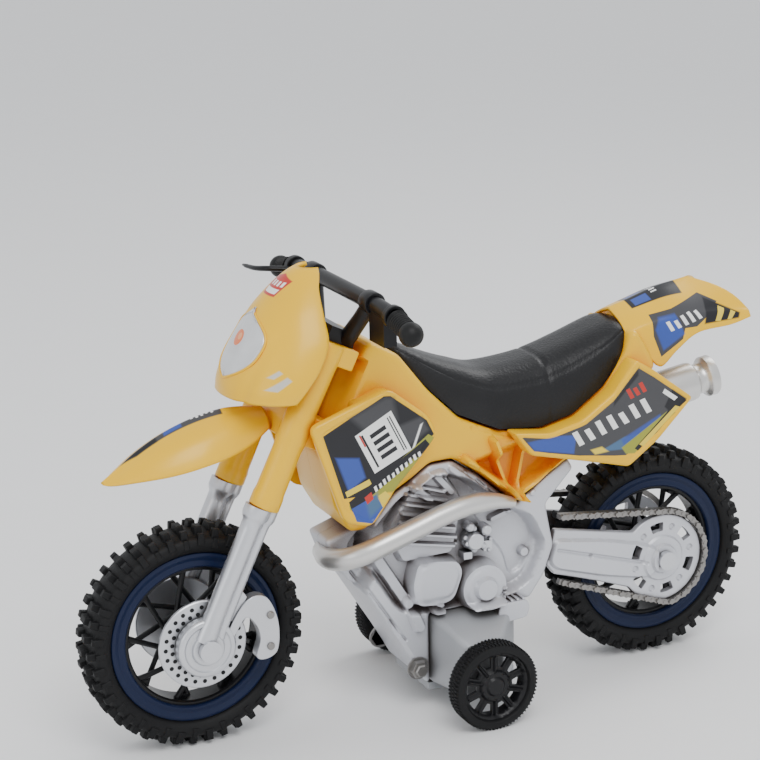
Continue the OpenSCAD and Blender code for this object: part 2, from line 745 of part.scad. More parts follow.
// Soft small tyres with a fine tread.
module drive_tyre() {
  difference() {
    pin_y(drive_x, drive_r, drive_y - 9, drive_y, drive_r);
    pin_y(drive_x, drive_r, drive_y - 10, drive_y + 1, drive_r - 3.4);
    for (i = [0:29]) translate([drive_x, 0, drive_r]) rotate([0, i * 12, 0])
      translate([drive_r - 0.7, drive_y - 10, -0.5]) cube([2, 11, 1]);
  }
}
module drive_tyres() { color("#1b1b1d") { drive_tyre(); other_side() drive_tyre(); } }

module drive_gear() {
  color("#d8d8d2") translate([drive_x, 0, drive_r]) difference() {
    translate([0, 7, 0]) rotate([90, 0, 0]) linear_extrude(3) rotate(idler_dir) gear_2d(gear_a, mod_1, axle_r);
    pin_y(0, 0, 0, 10, axle_r);
  }
}

// Idler: small gear and large gear on one steel pin hole.
module idler_gear() {
  color("#d8d8d2") translate([idler_x, 0, idler_z]) union() {
    translate([0, 7.8, 0]) rotate([90, 0, 0]) linear_extrude(4.2)
      rotate(idler_dir + 180 + 180 / gear_b) gear_2d(gear_b, mod_1, 0.01);
    translate([0, 10.4, 0]) rotate([90, 0, 0]) linear_extrude(2.6)
      rotate(fly_dir) gear_2d(gear_c, mod_2, 0.01);
    pin_y(0, 0, -15.9, 14.9, 1 - run);
  }
}

// Flywheel: heavy disc, pinion and shaft in one turned piece.
module flywheel() {
  color("#8c8f93") translate([fly_x, 0, fly_z]) union() {
    pin_y(0, 0, -12.5, 2.5, 8.3);
    pin_y(0, 0, -15, 15, 1);
    translate([0, 11, 0]) rotate([90, 0, 0]) linear_extrude(3.6)
      rotate(fly_dir + 180 + 180 / gear_d) gear_2d(gear_d, mod_2, 0.01);
  }
}

// ---------- electronics (inside, not visible) ----------

module battery_holder() {
  color("#26262a") difference() {
    translate([-5.4, -engine_y + 2.4, 45.6]) cube([20.4, 12.4, 14.8]);
    translate([-4, -engine_y, 47.2]) cube([17.6, 12.8, 11.8]);
  }
}

module cells() {
  color("#c8c9cb") for (i = [0:2])
    translate([-3.15 + 5.42 * i, -engine_y + 6.9, 53.1]) rotate([0, 90, 0]) cylinder(h = 5.4, r = 5.8);
}

module battery_door() {
  color("#b9bcc0") difference() {
    translate([-3.1, -engine_y - 2.5, 45.3]) cube([16.2, 3, 15.4]);
    translate([5, -engine_y + 1, 53]) rotate([90, 0, 0]) cylinder(h = 5, r = 1.2);
  }
}

module circuit_board() { color("#1f5a3a") translate([-22, -2.9, 43]) cube([36, 1.5, 16]); }

module speaker() {
  color("#3a3a3e") {
    pin_y(2, 54, 3, 7, 10);
    pin_y(2, 54, 7, 10, 5);
  }
}

// Long self-tapping screws from the right side, and two that hold the floor.
module screw_y(x, z, y) {
  pin_y(x, z, y - 28, y, 1.2);
  pin_y(x, z, y, y + 1.4, 2.6);
}
module screws() {
  color("#9b9da0") {
    other_side() {
      screw_y(30, 62, engine_y);
      screw_y(-38, 52, engine_y);
    }
    translate([-27.5, 0, 5.6]) cylinder(h = 4.4, r = 1.2);
    translate([3.4, 0, 5.6]) cylinder(h = 4.4, r = 1.2);
  }
}

module sound_button() {
  color("#d23a2a") translate([button_x, 0, button_z]) {
    pin_y(0, 0, -engine_y - 6, -engine_y + 2.2, 5);
    pin_y(0, 0, -engine_y + 2.2, -engine_y + 4, 5.8);
    pin_y(0, 0, -engine_y + 4, -engine_y + 11, 2);
  }
}

// ---------- draw the chosen node ----------

front_tyre();
front_rim();
front_spokes();
rear_tyre();
rear_rim();
rear_spokes();
fork_yoke();
fork_leg_left();
fork_leg_right();
brake_disc_left();
brake_disc_right();
front_fender();
headlight_cowl();
headlight_lens();
lamp();
handlebar();
grip_left();
grip_right();
hand_lever();
front_axle();
front_axle_caps();
steering_pin();
frame_left();
frame_right();
engine_left();
engine_right();
seat();
tail_fender();
side_panel_left();
side_panel_right();
exhaust_header();
muffler();
swingarm_left();
swingarm_right();
chain_left();
chain_right();
rear_axle();
rear_axle_caps();
carburettor();
gearbox_shell();
gearbox_floor();
cradle_bolt();
battery_holder();
cells();
battery_door();
circuit_board();
speaker();
screws();
drive_axle();
drive_hubs();
drive_tyres();
drive_gear();
idler_gear();
flywheel();
sound_button();
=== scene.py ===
# %% [markdown]
# # A moulded toy dirt bike
# The toy is made of yellow shell mouldings, a silver engine moulding, black wheels and a raised,
# leaning fork. Almost every part was pulled from a two-part mould, sideways. So most pieces here
# are reliefs: a height above the middle plane, worked out for every point of a side view.
# All measures in the cells are millimetres; they turn into metres when a mesh is made.

# %% Tools and the shared frame
import json
import math
import bmesh
import bpy
import numpy as np
from mathutils import Matrix, Vector
from mathutils.geometry import delaunay_2d_cdt


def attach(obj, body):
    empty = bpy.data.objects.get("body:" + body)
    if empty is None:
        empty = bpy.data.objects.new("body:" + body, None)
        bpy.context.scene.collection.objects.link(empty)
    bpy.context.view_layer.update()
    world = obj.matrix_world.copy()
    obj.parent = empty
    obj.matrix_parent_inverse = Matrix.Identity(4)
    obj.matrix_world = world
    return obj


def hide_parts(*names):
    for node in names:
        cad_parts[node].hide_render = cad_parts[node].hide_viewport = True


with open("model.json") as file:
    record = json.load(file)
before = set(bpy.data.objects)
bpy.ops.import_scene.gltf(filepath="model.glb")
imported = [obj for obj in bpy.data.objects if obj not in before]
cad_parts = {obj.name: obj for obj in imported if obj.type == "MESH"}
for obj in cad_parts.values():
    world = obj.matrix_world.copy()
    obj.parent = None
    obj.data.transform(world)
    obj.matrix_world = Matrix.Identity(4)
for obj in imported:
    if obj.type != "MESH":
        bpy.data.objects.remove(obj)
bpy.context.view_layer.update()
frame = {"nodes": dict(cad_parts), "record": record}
MM = 0.001
WELD = 2e-6
WHEEL_R = 44.0
AXLE_X = 100.0
RAKE = math.radians(25.8)

# %% [markdown]
# ## Camera
# A long lens stands at the front left of the toy and a little above it, and leans by about one
# degree. The pose is written as a place, a point that it looks at, and that lean.

# %% Camera
def aim_camera(place, target, lean_deg, lens):
    """Back axis from target to place; right and up axes square to it, turned by the lean."""
    back = (Vector(place) - Vector(target)).normalized()
    right = Vector((0, 0, 1)).cross(back).normalized()
    up = back.cross(right)
    lean = math.radians(lean_deg)
    r = right * math.cos(lean) + up * math.sin(lean)
    u = up * math.cos(lean) - right * math.sin(lean)
    data = bpy.data.cameras.new("camera")
    data.sensor_width = 36
    data.lens = lens
    camera = bpy.data.objects.new("camera", data)
    bpy.context.scene.collection.objects.link(camera)
    columns = (r, u, back, Vector(place))
    camera.matrix_world = Matrix([[c[i] for c in columns] for i in range(3)] + [[0, 0, 0, 1]])
    bpy.context.scene.camera = camera


aim_camera((0.3600, 0.7584, 0.3708), (0.01904, 0.00191, 0.1330), -1.28, 106.43)

# %% [markdown]
# ## Meshes from arrays
# Every shape is a list of points and a list of faces. A few helpers turn arrays into those lists:
# a grid of points, a turned profile, a tube along a path and a straight-sided block. Then one
# function makes the object, gives it its finish and hangs it on the empty of the body it rides on.

# %% Mesh helpers
def grid_faces(rows, cols, wrap_rows=False, wrap_cols=False, start=0):
    """Four-sided faces between neighbouring points of a rows by cols grid."""
    i = np.arange(rows if wrap_rows else rows - 1)[:, None]
    j = np.arange(cols if wrap_cols else cols - 1)[None, :]
    a = i * cols + j
    b = i * cols + (j + 1) % cols
    c = ((i + 1) % rows) * cols + (j + 1) % cols
    d = ((i + 1) % rows) * cols + j
    return (np.stack([a, b, c, d], axis=-1).reshape(-1, 4) + start).tolist()


def end_caps(rows, sides):
    """The first and the last ring of a swept shape as two faces."""
    return [list(range(sides))[::-1], [(rows - 1) * sides + i for i in range(sides)]]


def arc(x, z, radius, angles):
    """Points of a circle round (x, z) in the side view."""
    return np.column_stack([x + radius * np.cos(angles), z + radius * np.sin(angles)])


def join(*shapes):
    """One shape from several: points stacked, face numbers moved along."""
    points, faces, count = [], [], 0
    for p, f in shapes:
        p = np.asarray(p, float).reshape(-1, 3)
        points.append(p)
        faces += [[n + count for n in face] for face in f]
        count += len(p)
    return np.vstack(points), faces


def smooth_path(points, per_leg=8, closed=False):
    """A curve through the points: on each leg a cubic whose slopes are half the chord of the neighbours."""
    p = np.asarray(points, float)
    n = len(p)
    legs = n if closed else n - 1
    t = np.linspace(0, 1, per_leg, endpoint=False)[:, None]
    out = []
    for k in range(legs):
        if closed:
            a, b, c, d = p[k - 1], p[k], p[(k + 1) % n], p[(k + 2) % n]
        else:
            b, c = p[k], p[k + 1]
            a = p[k - 1] if k else 2 * b - c
            d = p[k + 2] if k + 2 < n else 2 * c - b
        out.append(0.5 * (2 * b + (c - a) * t + (2 * a - 5 * b + 4 * c - d) * t**2
                          + (3 * b - a - 3 * c + d) * t**3))
    if not closed:
        out.append(p[-1:])
    return np.vstack(out)


def tube(path, radius, sides=20, caps=True, flat=1.0):
    """Rings of a circle of the given radius, square to the path; flat squeezes them along the
    second axis."""
    p = np.asarray(path, float)
    r = np.broadcast_to(np.asarray(radius, float), (len(p),))
    d = np.gradient(p, axis=0)
    d /= np.linalg.norm(d, axis=1)[:, None]
    side = np.cross(d[0], [0, 0, 1.0] if abs(d[0][2]) < 0.9 else [0, 1.0, 0])
    us = []
    for k in range(len(p)):
        side = side - d[k] * side.dot(d[k])
        side = side / np.linalg.norm(side)
        us.append(side)
    u = np.array(us)
    v = np.cross(d, u)
    a = np.linspace(0, 2 * np.pi, sides, endpoint=False)
    rings = p[:, None] + r[:, None, None] * (np.cos(a)[None, :, None] * u[:,
            None] + flat * np.sin(a)[None, :, None] * v[:, None])
    faces = grid_faces(len(p), sides, wrap_cols=True)
    if caps:
        faces += end_caps(len(p), sides)
    return rings.reshape(-1, 3), [f[::-1] for f in faces]


def turned(profile, x, z, steps=96, closed=True):
    """A profile of (radius, y) pairs turned about the Y axis through (x, z)."""
    q = np.asarray(profile, float)
    a = np.linspace(0, 2 * np.pi, steps, endpoint=False)
    p = np.stack([
        x + q[None, :, 0] * np.cos(a)[:, None],
        np.broadcast_to(q[None, :, 1], (steps, len(q))),
        z + q[None, :, 0] * np.sin(a)[:, None]], axis=-1)
    return p.reshape(-1, 3), grid_faces(steps, len(q), wrap_rows=True, wrap_cols=closed)


def block(outline, y0, y1):
    """A side-view outline of (x, z) pairs made solid from y0 to y1."""
    q = np.asarray(outline, float)
    n = len(q)
    p = np.vstack([np.column_stack([q[:, 0], np.full(n, y), q[:, 1]]) for y in (y0, y1)])
    faces = [[i, (i + 1) % n, n + (i + 1) % n, n + i] for i in range(n)]
    return p, faces + end_caps(2, n)


def box_between(low, high):
    """A box from its low corner to its high corner."""
    (x0, y0, z0), (x1, y1, z1) = low, high
    return block([(x0, z0), (x1, z0), (x1, z1), (x0, z1)], y0, y1)


def mirrored(shape):
    """The same shape on the other side of the bike."""
    p, f = shape
    return np.asarray(p, float) * [1, -1, 1], [face[::-1] for face in f]


SIDES = (("left", lambda shape: shape), ("right", mirrored))


def leaning(shape):
    """From the fork's own frame (axle at the origin, z up the legs) into the bike's frame."""
    p, f = shape
    p = np.asarray(p, float)
    c, s = math.cos(RAKE), math.sin(RAKE)
    return np.column_stack([AXLE_X + c * p[:, 0] - s * p[:, 2], p[:, 1],
                            WHEEL_R + s * p[:, 0] + c * p[:, 2]]), f


def piece(name, shape, body, finish, replaces=(), bevel=0.0, rounds=2, crease_deg=32, solid=0.0):
    """Makes the object: mesh in metres, outward faces, smooth shading with sharp corners,
    modifiers, body and finish."""
    points, faces = shape
    mesh = bpy.data.meshes.new(name)
    mesh.from_pydata((np.asarray(points) * MM).tolist(), [], faces)
    mesh.validate()
    work = bmesh.new()
    work.from_mesh(mesh)
    bmesh.ops.remove_doubles(work, verts=work.verts, dist=WELD)
    bmesh.ops.recalc_face_normals(work, faces=work.faces)
    work.to_mesh(mesh)
    work.free()
    thing = bpy.data.objects.new(name, mesh)
    bpy.context.scene.collection.objects.link(thing)
    mesh.polygons.foreach_set("use_smooth", np.ones(len(mesh.polygons), bool))
    mesh.set_sharp_from_angle(angle=math.radians(crease_deg))
    mesh.materials.append(finish)
    if solid:
        wall = thing.modifiers.new("wall", "SOLIDIFY")
        wall.thickness = solid * MM
        wall.offset = -1
    if bevel:
        round_off = thing.modifiers.new("round", "BEVEL")
        round_off.width = bevel * MM
        round_off.segments = rounds
        round_off.limit_method = "ANGLE"
        round_off.angle_limit = math.radians(crease_deg)
        round_off.harden_normals = False
    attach(thing, body)
    for node in replaces:
        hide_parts(node)


# %% [markdown]
# ## Finishes
# Moulded plastic is never one flat colour: the wall is thicker in some places and the surface has a
# fine grain. So each finish mixes two tones by a slow noise, breaks its gloss by a finer one and
# adds a small bump. Deep corners look warmer on the yellow pieces, because light bounces between
# their yellow walls, and darker on all of them, because little light gets in; that is painted shade,
# laid into narrow corners through an ambient occlusion node. Every pattern reads Object coordinates
# in millimetres, so it stays on its piece when the bike moves.

# %% Nodes
def add(tree, kind, values=(), **settings):
    """One shader node: its settings, then each input as a number, a colour or a link."""
    new = tree.nodes.new(kind)
    for key, value in settings.items():
        setattr(new, key, value)
    for name, value in values:
        if isinstance(value, bpy.types.NodeSocket):
            tree.links.new(value, new.inputs[name])
        else:
            new.inputs[name].default_value = value
    return new


def mix(tree, mask, under, over):
    """Colour over lies on colour under where the mask is one."""
    layer = add(tree, "ShaderNodeMix", data_type="RGBA")
    for name, value in ((0, mask), (6, under), (7, over)):
        if isinstance(value, bpy.types.NodeSocket):
            tree.links.new(value, layer.inputs[name])
        else:
            layer.inputs[name].default_value = value
    return layer.outputs[2]


def maths(tree, operation, a, b=0.0):
    """One arithmetic node on a pair of values."""
    return add(tree, "ShaderNodeMath", [(0, a), (1, b)], operation=operation).outputs[0]


def shade(colour, amount):
    """The colour made lighter or darker by one factor."""
    return tuple(min(1.0, c * amount) for c in colour[:3]) + (1.0,)


def finish(name, colour, rough, metal=0.0, coat=0.0, spread=0.08, slow=30.0,
           grain=0.12, grain_mm=0.5, painted_corner_shade=None, reach=9.0, paint=None, shine=0.5):
    """Two tones by slow noise, painted shade in narrow corners, painted shapes, gloss broken by fine
    noise, and a grain bump."""
    material = bpy.data.materials.new(name)
    material.use_nodes = True
    tree = material.node_tree
    shader = tree.nodes["Principled BSDF"]
    coords = add(tree, "ShaderNodeTexCoord").outputs["Object"]
    mm = add(tree, "ShaderNodeVectorMath", [(0, coords), ("Scale", 1000.0)], operation="SCALE").outputs[0]
    cloud = add(tree, "ShaderNodeTexNoise", [("Vector", mm), ("Scale", 1 / slow), ("Detail", 3.0)])
    look = mix(tree, cloud.outputs["Fac"], shade(colour, 1 - spread), shade(colour, 1 + spread))
    # painted shade: an ambient occlusion mask lays the corner shade colour into narrow corners and pockets
    if painted_corner_shade:
        corner = add(tree, "ShaderNodeAmbientOcclusion", [("Distance", reach * MM)], samples=6)
        corner_shade_mask = add(tree, "ShaderNodeMapRange", [(0, corner.outputs["AO"]), (1, 0.75), (2, 0.12)])
        look = mix(tree, corner_shade_mask.outputs[0], look, painted_corner_shade)
    for layer in paint or ():
        look = layer(tree, mm, look)
    tree.links.new(look, shader.inputs["Base Color"])
    fine = add(tree, "ShaderNodeTexNoise", [("Vector", mm), ("Scale", 1 / grain_mm), ("Detail", 4.0)])
    gloss = add(tree, "ShaderNodeMapRange", [(0, fine.outputs["Fac"]), (3, rough * 0.8),
                                             (4, min(1.0, rough * 1.25))])
    tree.links.new(gloss.outputs[0], shader.inputs["Roughness"])
    bump = add(tree, "ShaderNodeBump", [("Height", fine.outputs["Fac"]), ("Strength", grain),
                                        ("Distance", 0.2 * MM)])
    tree.links.new(bump.outputs[0], shader.inputs["Normal"])
    shader.inputs["Metallic"].default_value = metal
    shader.inputs["Coat Weight"].default_value = coat
    shader.inputs["Specular IOR Level"].default_value = shine
    shader.inputs["Coat Roughness"].default_value = 0.12
    return material


# %% [markdown]
# ### Stickers
# The stickers are flat coloured shapes. Each shape is a convex outline: a point is inside when it
# is on the inner side of every edge, so the smallest of its distances to the edges is above
# zero. Shapes are laid one on another like cut paper. Where the toy carries words and a number,
# plain bars and stripes stand in for them.

# %% Painted shapes
PLANES = {"side": (0, 2), "top": (0, 1), "front": (1, 2)}


def area(colour, corners, plane="side", out=0.0, soft=0.0):
    """A convex shape of one colour; out keeps it to points further than that from the middle plane."""
    q = np.asarray(corners, float)
    turn = np.roll(q, -1, axis=0) - q
    spin = np.sign(np.sum(q[:, 0] * np.roll(q[:, 1], -1) - np.roll(q[:, 0], -1) * q[:, 1]))
    inward = np.column_stack([-turn[:, 1], turn[:, 0]]) * spin
    inward /= np.linalg.norm(inward, axis=1)[:, None]
    offsets = np.sum(inward * q, axis=1)

    def layer(tree, mm, look):
        least = None
        for (a, b), c in zip(inward, offsets):
            axis = [0.0, 0.0, 0.0]
            axis[PLANES[plane][0]], axis[PLANES[plane][1]] = float(a), float(b)
            along = add(tree, "ShaderNodeVectorMath", [(0, mm), (1, axis)],
                        operation="DOT_PRODUCT").outputs["Value"]
            gap = maths(tree, "SUBTRACT", along, float(c))
            least = gap if least is None else maths(tree, "MINIMUM", least, gap)
        if out:
            parts = add(tree, "ShaderNodeSeparateXYZ", [(0, mm)])
            far = maths(tree, "ABSOLUTE", parts.outputs[1])
            least = maths(tree, "MINIMUM", least, maths(tree, "SUBTRACT", far, out))
        mask = add(tree, "ShaderNodeMapRange", [(0, least), (1, -0.03 - soft), (2, 0.05 + soft)]).outputs[0]
        return mix(tree, mask, look, colour)
    return layer


def oval(colour, centre, radii, plane="side"):
    """An ellipse: inside where the stretched distance from the centre is below one."""
    def layer(tree, mm, look):
        stretch = [0.0, 0.0, 0.0]
        shift = [0.0, 0.0, 0.0]
        for axis, c, r in zip(PLANES[plane], centre, radii):
            stretch[axis] = 1 / r
            shift[axis] = -c / r
        local = add(tree, "ShaderNodeVectorMath", [(0, mm), (1, stretch), (2, shift)],
                    operation="MULTIPLY_ADD")
        far = add(tree, "ShaderNodeVectorMath", [(0, local.outputs[0])],
                  operation="LENGTH").outputs["Value"]
        mask = add(tree, "ShaderNodeMapRange", [(0, far), (1, 1.02), (2, 0.98)]).outputs[0]
        return mix(tree, mask, look, colour)
    return layer


def bars(colour, start, end, height, count, lean=0.25, fill=0.55, plane="side", out=0.0):
    """A row of short leaning bars between two points, in place of a word."""
    a, b = np.asarray(start, float), np.asarray(end, float)
    step = (b - a) / count
    up = np.array([-step[1], step[0]]) / np.linalg.norm(step) * height
    if up[1] < 0:
        up = -up
    slope = step / np.linalg.norm(step) * height * lean
    shapes = []
    for k in range(count):
        p = a + k * step
        q = p + step * fill
        tall = up * (1.0 - 0.18 * (k % 3 == 1))
        shapes.append(area(colour, [p, q, q + tall + slope, p + tall + slope], plane, out))
    return shapes


def stack(out, rows):
    """Side-view shapes, each a colour, its corners and, where given, the softness of its edge."""
    return [area(row[0], row[1], out=out, soft=row[2] if len(row) > 2 else 0.0) for row in rows]


def between(t, s, frame_corners):
    """A point at share t along and share s up a four-cornered frame."""
    a, b, c, d = (np.asarray(p, float) for p in frame_corners)
    return (a * (1 - t) + b * t) * (1 - s) + (d * (1 - t) + c * t) * s


# %% Sticker designs
INK = (0.010, 0.010, 0.013, 1)
CHROME = (0.55, 0.52, 0.45, 1)
SMOKE = (0.052, 0.052, 0.056, 1)
BLUE = (0.035, 0.075, 0.33, 1)
SLATE = (0.06, 0.13, 0.24, 1)
OLIVE = (0.30, 0.30, 0.035, 1)
GOLD = (0.75, 0.56, 0.05, 1)
WHITE = (0.85, 0.85, 0.83, 1)
RED = (0.50, 0.03, 0.02, 1)
YELLOW = (0.86, 0.49, 0.0, 1)

PLATE = [(41.5, 120.8), (33.7, 105.0), (18.2, 112.1), (26.5, 128.7)]


def plate_bar(t0, t1, s0, s1, colour):
    """A rectangle on the number plate, in shares of its sides."""
    corners = [between(s, t, PLATE) for t, s in ((t0, s0), (t1, s0), (t1, s1), (t0, s1))]
    return area(colour, corners, out=26)


shroud_paint = [
    *stack(26, [
        (INK, [(54.3, 122.6), (46.5, 97), (37, 97), (9, 117), (12, 123), (26.8, 134.5), (29.5, 134.8)]),
        (SMOKE, [(43, 128), (35, 120), (24, 125), (25.5, 133.5), (28.5, 134)], 1.2),
        (BLUE, [(49.5, 113.5), (44.5, 99.5), (37.5, 104), (40, 112)], 0.5),
        (SMOKE, [(24, 122), (14, 124.5), (11, 119), (19, 114)], 0.8),
        (WHITE, [(14.5, 121.5), (13.4, 122), (18, 110), (18.8, 110.5)], 0.2),
        (OLIVE, [(45.4, 97.8), (30.5, 103.4), (20, 110.4), (20, 102), (30, 96), (44, 92)]),
        (OLIVE, [(30.5, 103.4), (11.2, 117.2), (8.8, 115.6), (20, 102), (30, 96)]),
        (GOLD, [(46.0, 99.6), (45.2, 97.4), (35, 101), (36, 103.2)]),
        (INK, [(44.6, 95.4), (43.3, 91.4), (10.2, 112.2), (12.4, 115.4)]),
        (OLIVE, [(31, 97), (26, 96.5), (15, 108), (17, 109)], 0.4),
        (BLUE, [(43.5, 92.6), (41.8, 87.4), (35.4, 85.6), (30.5, 91), (33.5, 96.5)]),
        (SLATE, [(37.5, 93.5), (36, 88), (31, 91.5), (33, 97)], 0.8),
        (GOLD, [(29.5, 97.5), (32.5, 96), (30.8, 91.2), (27.5, 95)]),
        (WHITE, PLATE),
    ]),
    plate_bar(0.12, 0.17, 0.08, 0.92, INK), plate_bar(0.08, 0.12, 0.05, 0.35, RED),
    plate_bar(0.83, 0.86, 0.08, 0.92, INK), plate_bar(0.89, 0.92, 0.08, 0.92, INK),
    *[plate_bar(0.30, 0.72, s, s + 0.10, INK) for s in (0.18, 0.36, 0.54, 0.72)],
    *bars(WHITE, (33.5, 97.6), (13.5, 109.8), 2.2, 11, lean=0.2, out=26),
    area(RED, [(38.2, 96.2), (37, 93.3), (34.4, 95.2), (35.3, 98)], out=26),
]

panel_paint = [
    *stack(26, [
        (SMOKE, [(-42, 107.0), (-29.3, 109.3), (-34.6, 103), (-42, 101.0)]),
        (SMOKE, [(-58, 110.6), (-41.8, 107.0), (-41.8, 101.1), (-55, 98), (-58, 97.6)]),
        (SMOKE, [(-57.8, 110.4), (-70.5, 118.4), (-70.5, 95.6), (-57.8, 97.6)]),
        (SMOKE, [(-70.3, 118.3), (-81.5, 130.2), (-81.5, 98.0), (-76, 95.0), (-70.3, 95.6)]),
        (SMOKE, [(-81.3, 130.2), (-88.5, 125.4), (-103.2, 114.6), (-90, 102.2), (-81.3, 97.0)]),
        (INK, [(-81.3, 130.4), (-70.4, 118.4), (-70.4, 116.2), (-81.3, 127.0)], 0.4),
        (INK, [(-97, 119.2), (-103.4, 114.6), (-97.0, 108.8), (-93.5, 112.5)], 0.3),
        (BLUE, [(-32, 106.8), (-35, 103), (-52.5, 99.2), (-53.5, 106.6), (-45, 107.6)], 0.3),
        (SLATE, [(-56, 101.5), (-57, 98.6), (-76, 97.6), (-94, 106.5), (-92.5, 109.5), (-75, 102.6)], 0.3),
        (BLUE, [(-74, 101.8), (-75, 99.3), (-92.5, 107.5), (-91.5, 109.6)], 0.5),
        (OLIVE, [(-74, 98.4), (-76, 95.6), (-80, 95.2), (-98.5, 109.5), (-94.5, 110.3)], 0.2),
        (INK, [(-80, 97.2), (-81.5, 96), (-103.5, 114), (-101, 115.8)]),
        (GOLD, [(-82, 98.6), (-84, 97.4), (-100.5, 111.6), (-98.5, 112.3)]),
        (GOLD, [(-60, 99.6), (-62, 97.4), (-68, 97.8), (-65, 100.2)], 0.3),
        (WHITE, [(-92.5, 118.4), (-98, 114.4), (-99.6, 115.6), (-93.5, 120)]),
    ]),
    *bars(WHITE, (-55.0, 101.8), (-90.5, 112.4), 6.6, 7, lean=-0.25, fill=0.46, out=26),
    *bars(RED, (-78.0, 117.8), (-86.5, 120.6), 4.6, 3, lean=-0.2, fill=0.6, out=26),
]
tail_paint = [
    *stack(9.5, [
        (SMOKE, [(-94, 147), (-94, 139), (-97, 130.5), (-106.2, 137.0), (-110, 149.8)]),
        (SMOKE, [(-104, 148.8), (-106, 137.0), (-112.5, 141.4), (-133, 142.4), (-134, 144.6),
                 (-118, 152.8)]),
        (BLUE, [(-95, 141.5), (-98, 133), (-107, 139), (-104, 147), (-97, 146)], 0.4),
        (INK, [(-119, 151.3), (-116, 142), (-132, 142.6), (-133, 144.6)], 0.3),
        (GOLD, [(-124, 148), (-121, 142.6), (-123.4, 142.4), (-126.4, 146.8)]),
        (GOLD, [(-129, 146), (-126.6, 142.6), (-128.6, 142.6), (-131, 145)]),
    ]),
    *bars(WHITE, (-101.5, 140.3), (-117, 145.0), 4.2, 5, lean=-0.2, fill=0.5, out=9.5),
    area(INK, [(-90, 6.5), (-90, -6.5), (-112, -8.5), (-113, 0), (-112, 8.5)], "top", soft=0.2),
    area(BLUE, [(-92, 5.8), (-92, 1.5), (-99, 1.5), (-99, 6.3)], "top", soft=0.2),
    area(BLUE, [(-92, -5.8), (-92, -1.5), (-99, -1.5), (-99, -6.3)], "top", soft=0.2),
    *bars(WHITE, (-101, -3), (-101, 3.6), 2.6, 4, lean=0.0, fill=0.5, plane="top"),
]
fender_paint = [
    area(SMOKE, [(84, 2.6), (84, -2.6), (118, -2.0), (124, 0), (118, 2.0)], "top", soft=0.2),
    area(INK, [(110, 2.1), (110, -2.1), (118, -1.8), (124, 0), (118, 1.8)], "top", soft=0.4),
    area(BLUE, [(100, 1.6), (100, -1.6), (107, -1.6), (107, 1.6)], "top", soft=0.3),
    *bars(WHITE, (87, -1.2), (97, -1.2), 2.0, 5, lean=0.0, fill=0.5, plane="top"),
]
cowl_paint = [
    area(RED, [(-5, 171.8), (5, 171.8), (6.5, 177.2), (0, 179), (-6.5, 177.2)], "front", soft=0.1),
    area(WHITE, [(-4.2, 172.6), (4.2, 172.6), (4.8, 174.2), (-4.8, 174.2)], "front"),
    *[area(WHITE, [(y, 175.0), (y + 1.4, 175.0), (y + 1.4, 176.6), (y, 176.6)], "front")
      for y in (-3.6, -1.2, 1.2, 3.6)],
    area(CHROME, [(74.5, 141.6), (66.6, 146.4), (65.2, 145.0), (70.5, 141.2)], out=12, soft=0.2),
    area(CHROME, [(73.0, 146.0), (68.8, 148.6), (67.8, 147.6), (71.0, 145.6)], out=12, soft=0.2),
]
lens_paint = [
    oval((0.80, 0.16, 0.02, 1), (0.0, 157.0), (3.2, 2.8), "front"),
    oval((0.90, 0.35, 0.12, 1), (0.6, 157.5), (1.4, 1.2), "front"),
]

# %% Finish list
# painted shade and bounce light: warm amber laid into the narrow corners of the yellow pieces
PAINTED_SHADE_AMBER = (0.70, 0.12, 0.0, 1)
yellow = finish("moulded yellow", YELLOW, 0.32, coat=0.10, shine=0.35, spread=0.05, grain=0.05,
                painted_corner_shade=PAINTED_SHADE_AMBER, reach=14)


def sticker_skin(name, paint, reach, grain=0.04):
    """Glossy yellow plastic under the given painted shapes, with painted amber shade in its corners."""
    return finish(name, YELLOW, 0.30, coat=0.12, shine=0.35, grain=grain, painted_corner_shade=PAINTED_SHADE_AMBER, reach=reach,
                  paint=paint)


shroud_skin = sticker_skin("shroud yellow with sticker", shroud_paint, 8)
panel_skin = sticker_skin("side panel yellow with sticker", panel_paint, 5)
tail_skin = sticker_skin("tail yellow with stickers", tail_paint, 6)
fender_skin = sticker_skin("fender yellow with sticker", fender_paint, 8, grain=0.05)
cowl_skin = sticker_skin("cowl yellow with sticker", cowl_paint, 8)
lens_skin = finish("pearl lens", (0.62, 0.63, 0.64, 1), 0.22, metal=0.25, coat=0.6, spread=0.18, slow=9,
                   paint=lens_paint)
# painted shade: dark grey laid into the corners of the silver pieces
silver = finish("silver paint", (0.62, 0.63, 0.66, 1), 0.32, metal=0.80, spread=0.04, grain=0.03,
                painted_corner_shade=(0.10, 0.10, 0.10, 1), reach=5)
pearl = finish("pearl silver paint", (0.66, 0.65, 0.63, 1), 0.33, metal=0.8, coat=0.15, spread=0.05,
               grain=0.02)
# painted shade: dark brown laid into the engine's pockets; the brown is the unpainted amber plastic there
# and the darkness is shade
engine_silver = finish("matt silver paint", (0.60, 0.61, 0.65, 1), 0.42, metal=0.45, spread=0.05,
                       grain=0.10,
                       painted_corner_shade=(0.045, 0.02, 0.01, 1), reach=12)
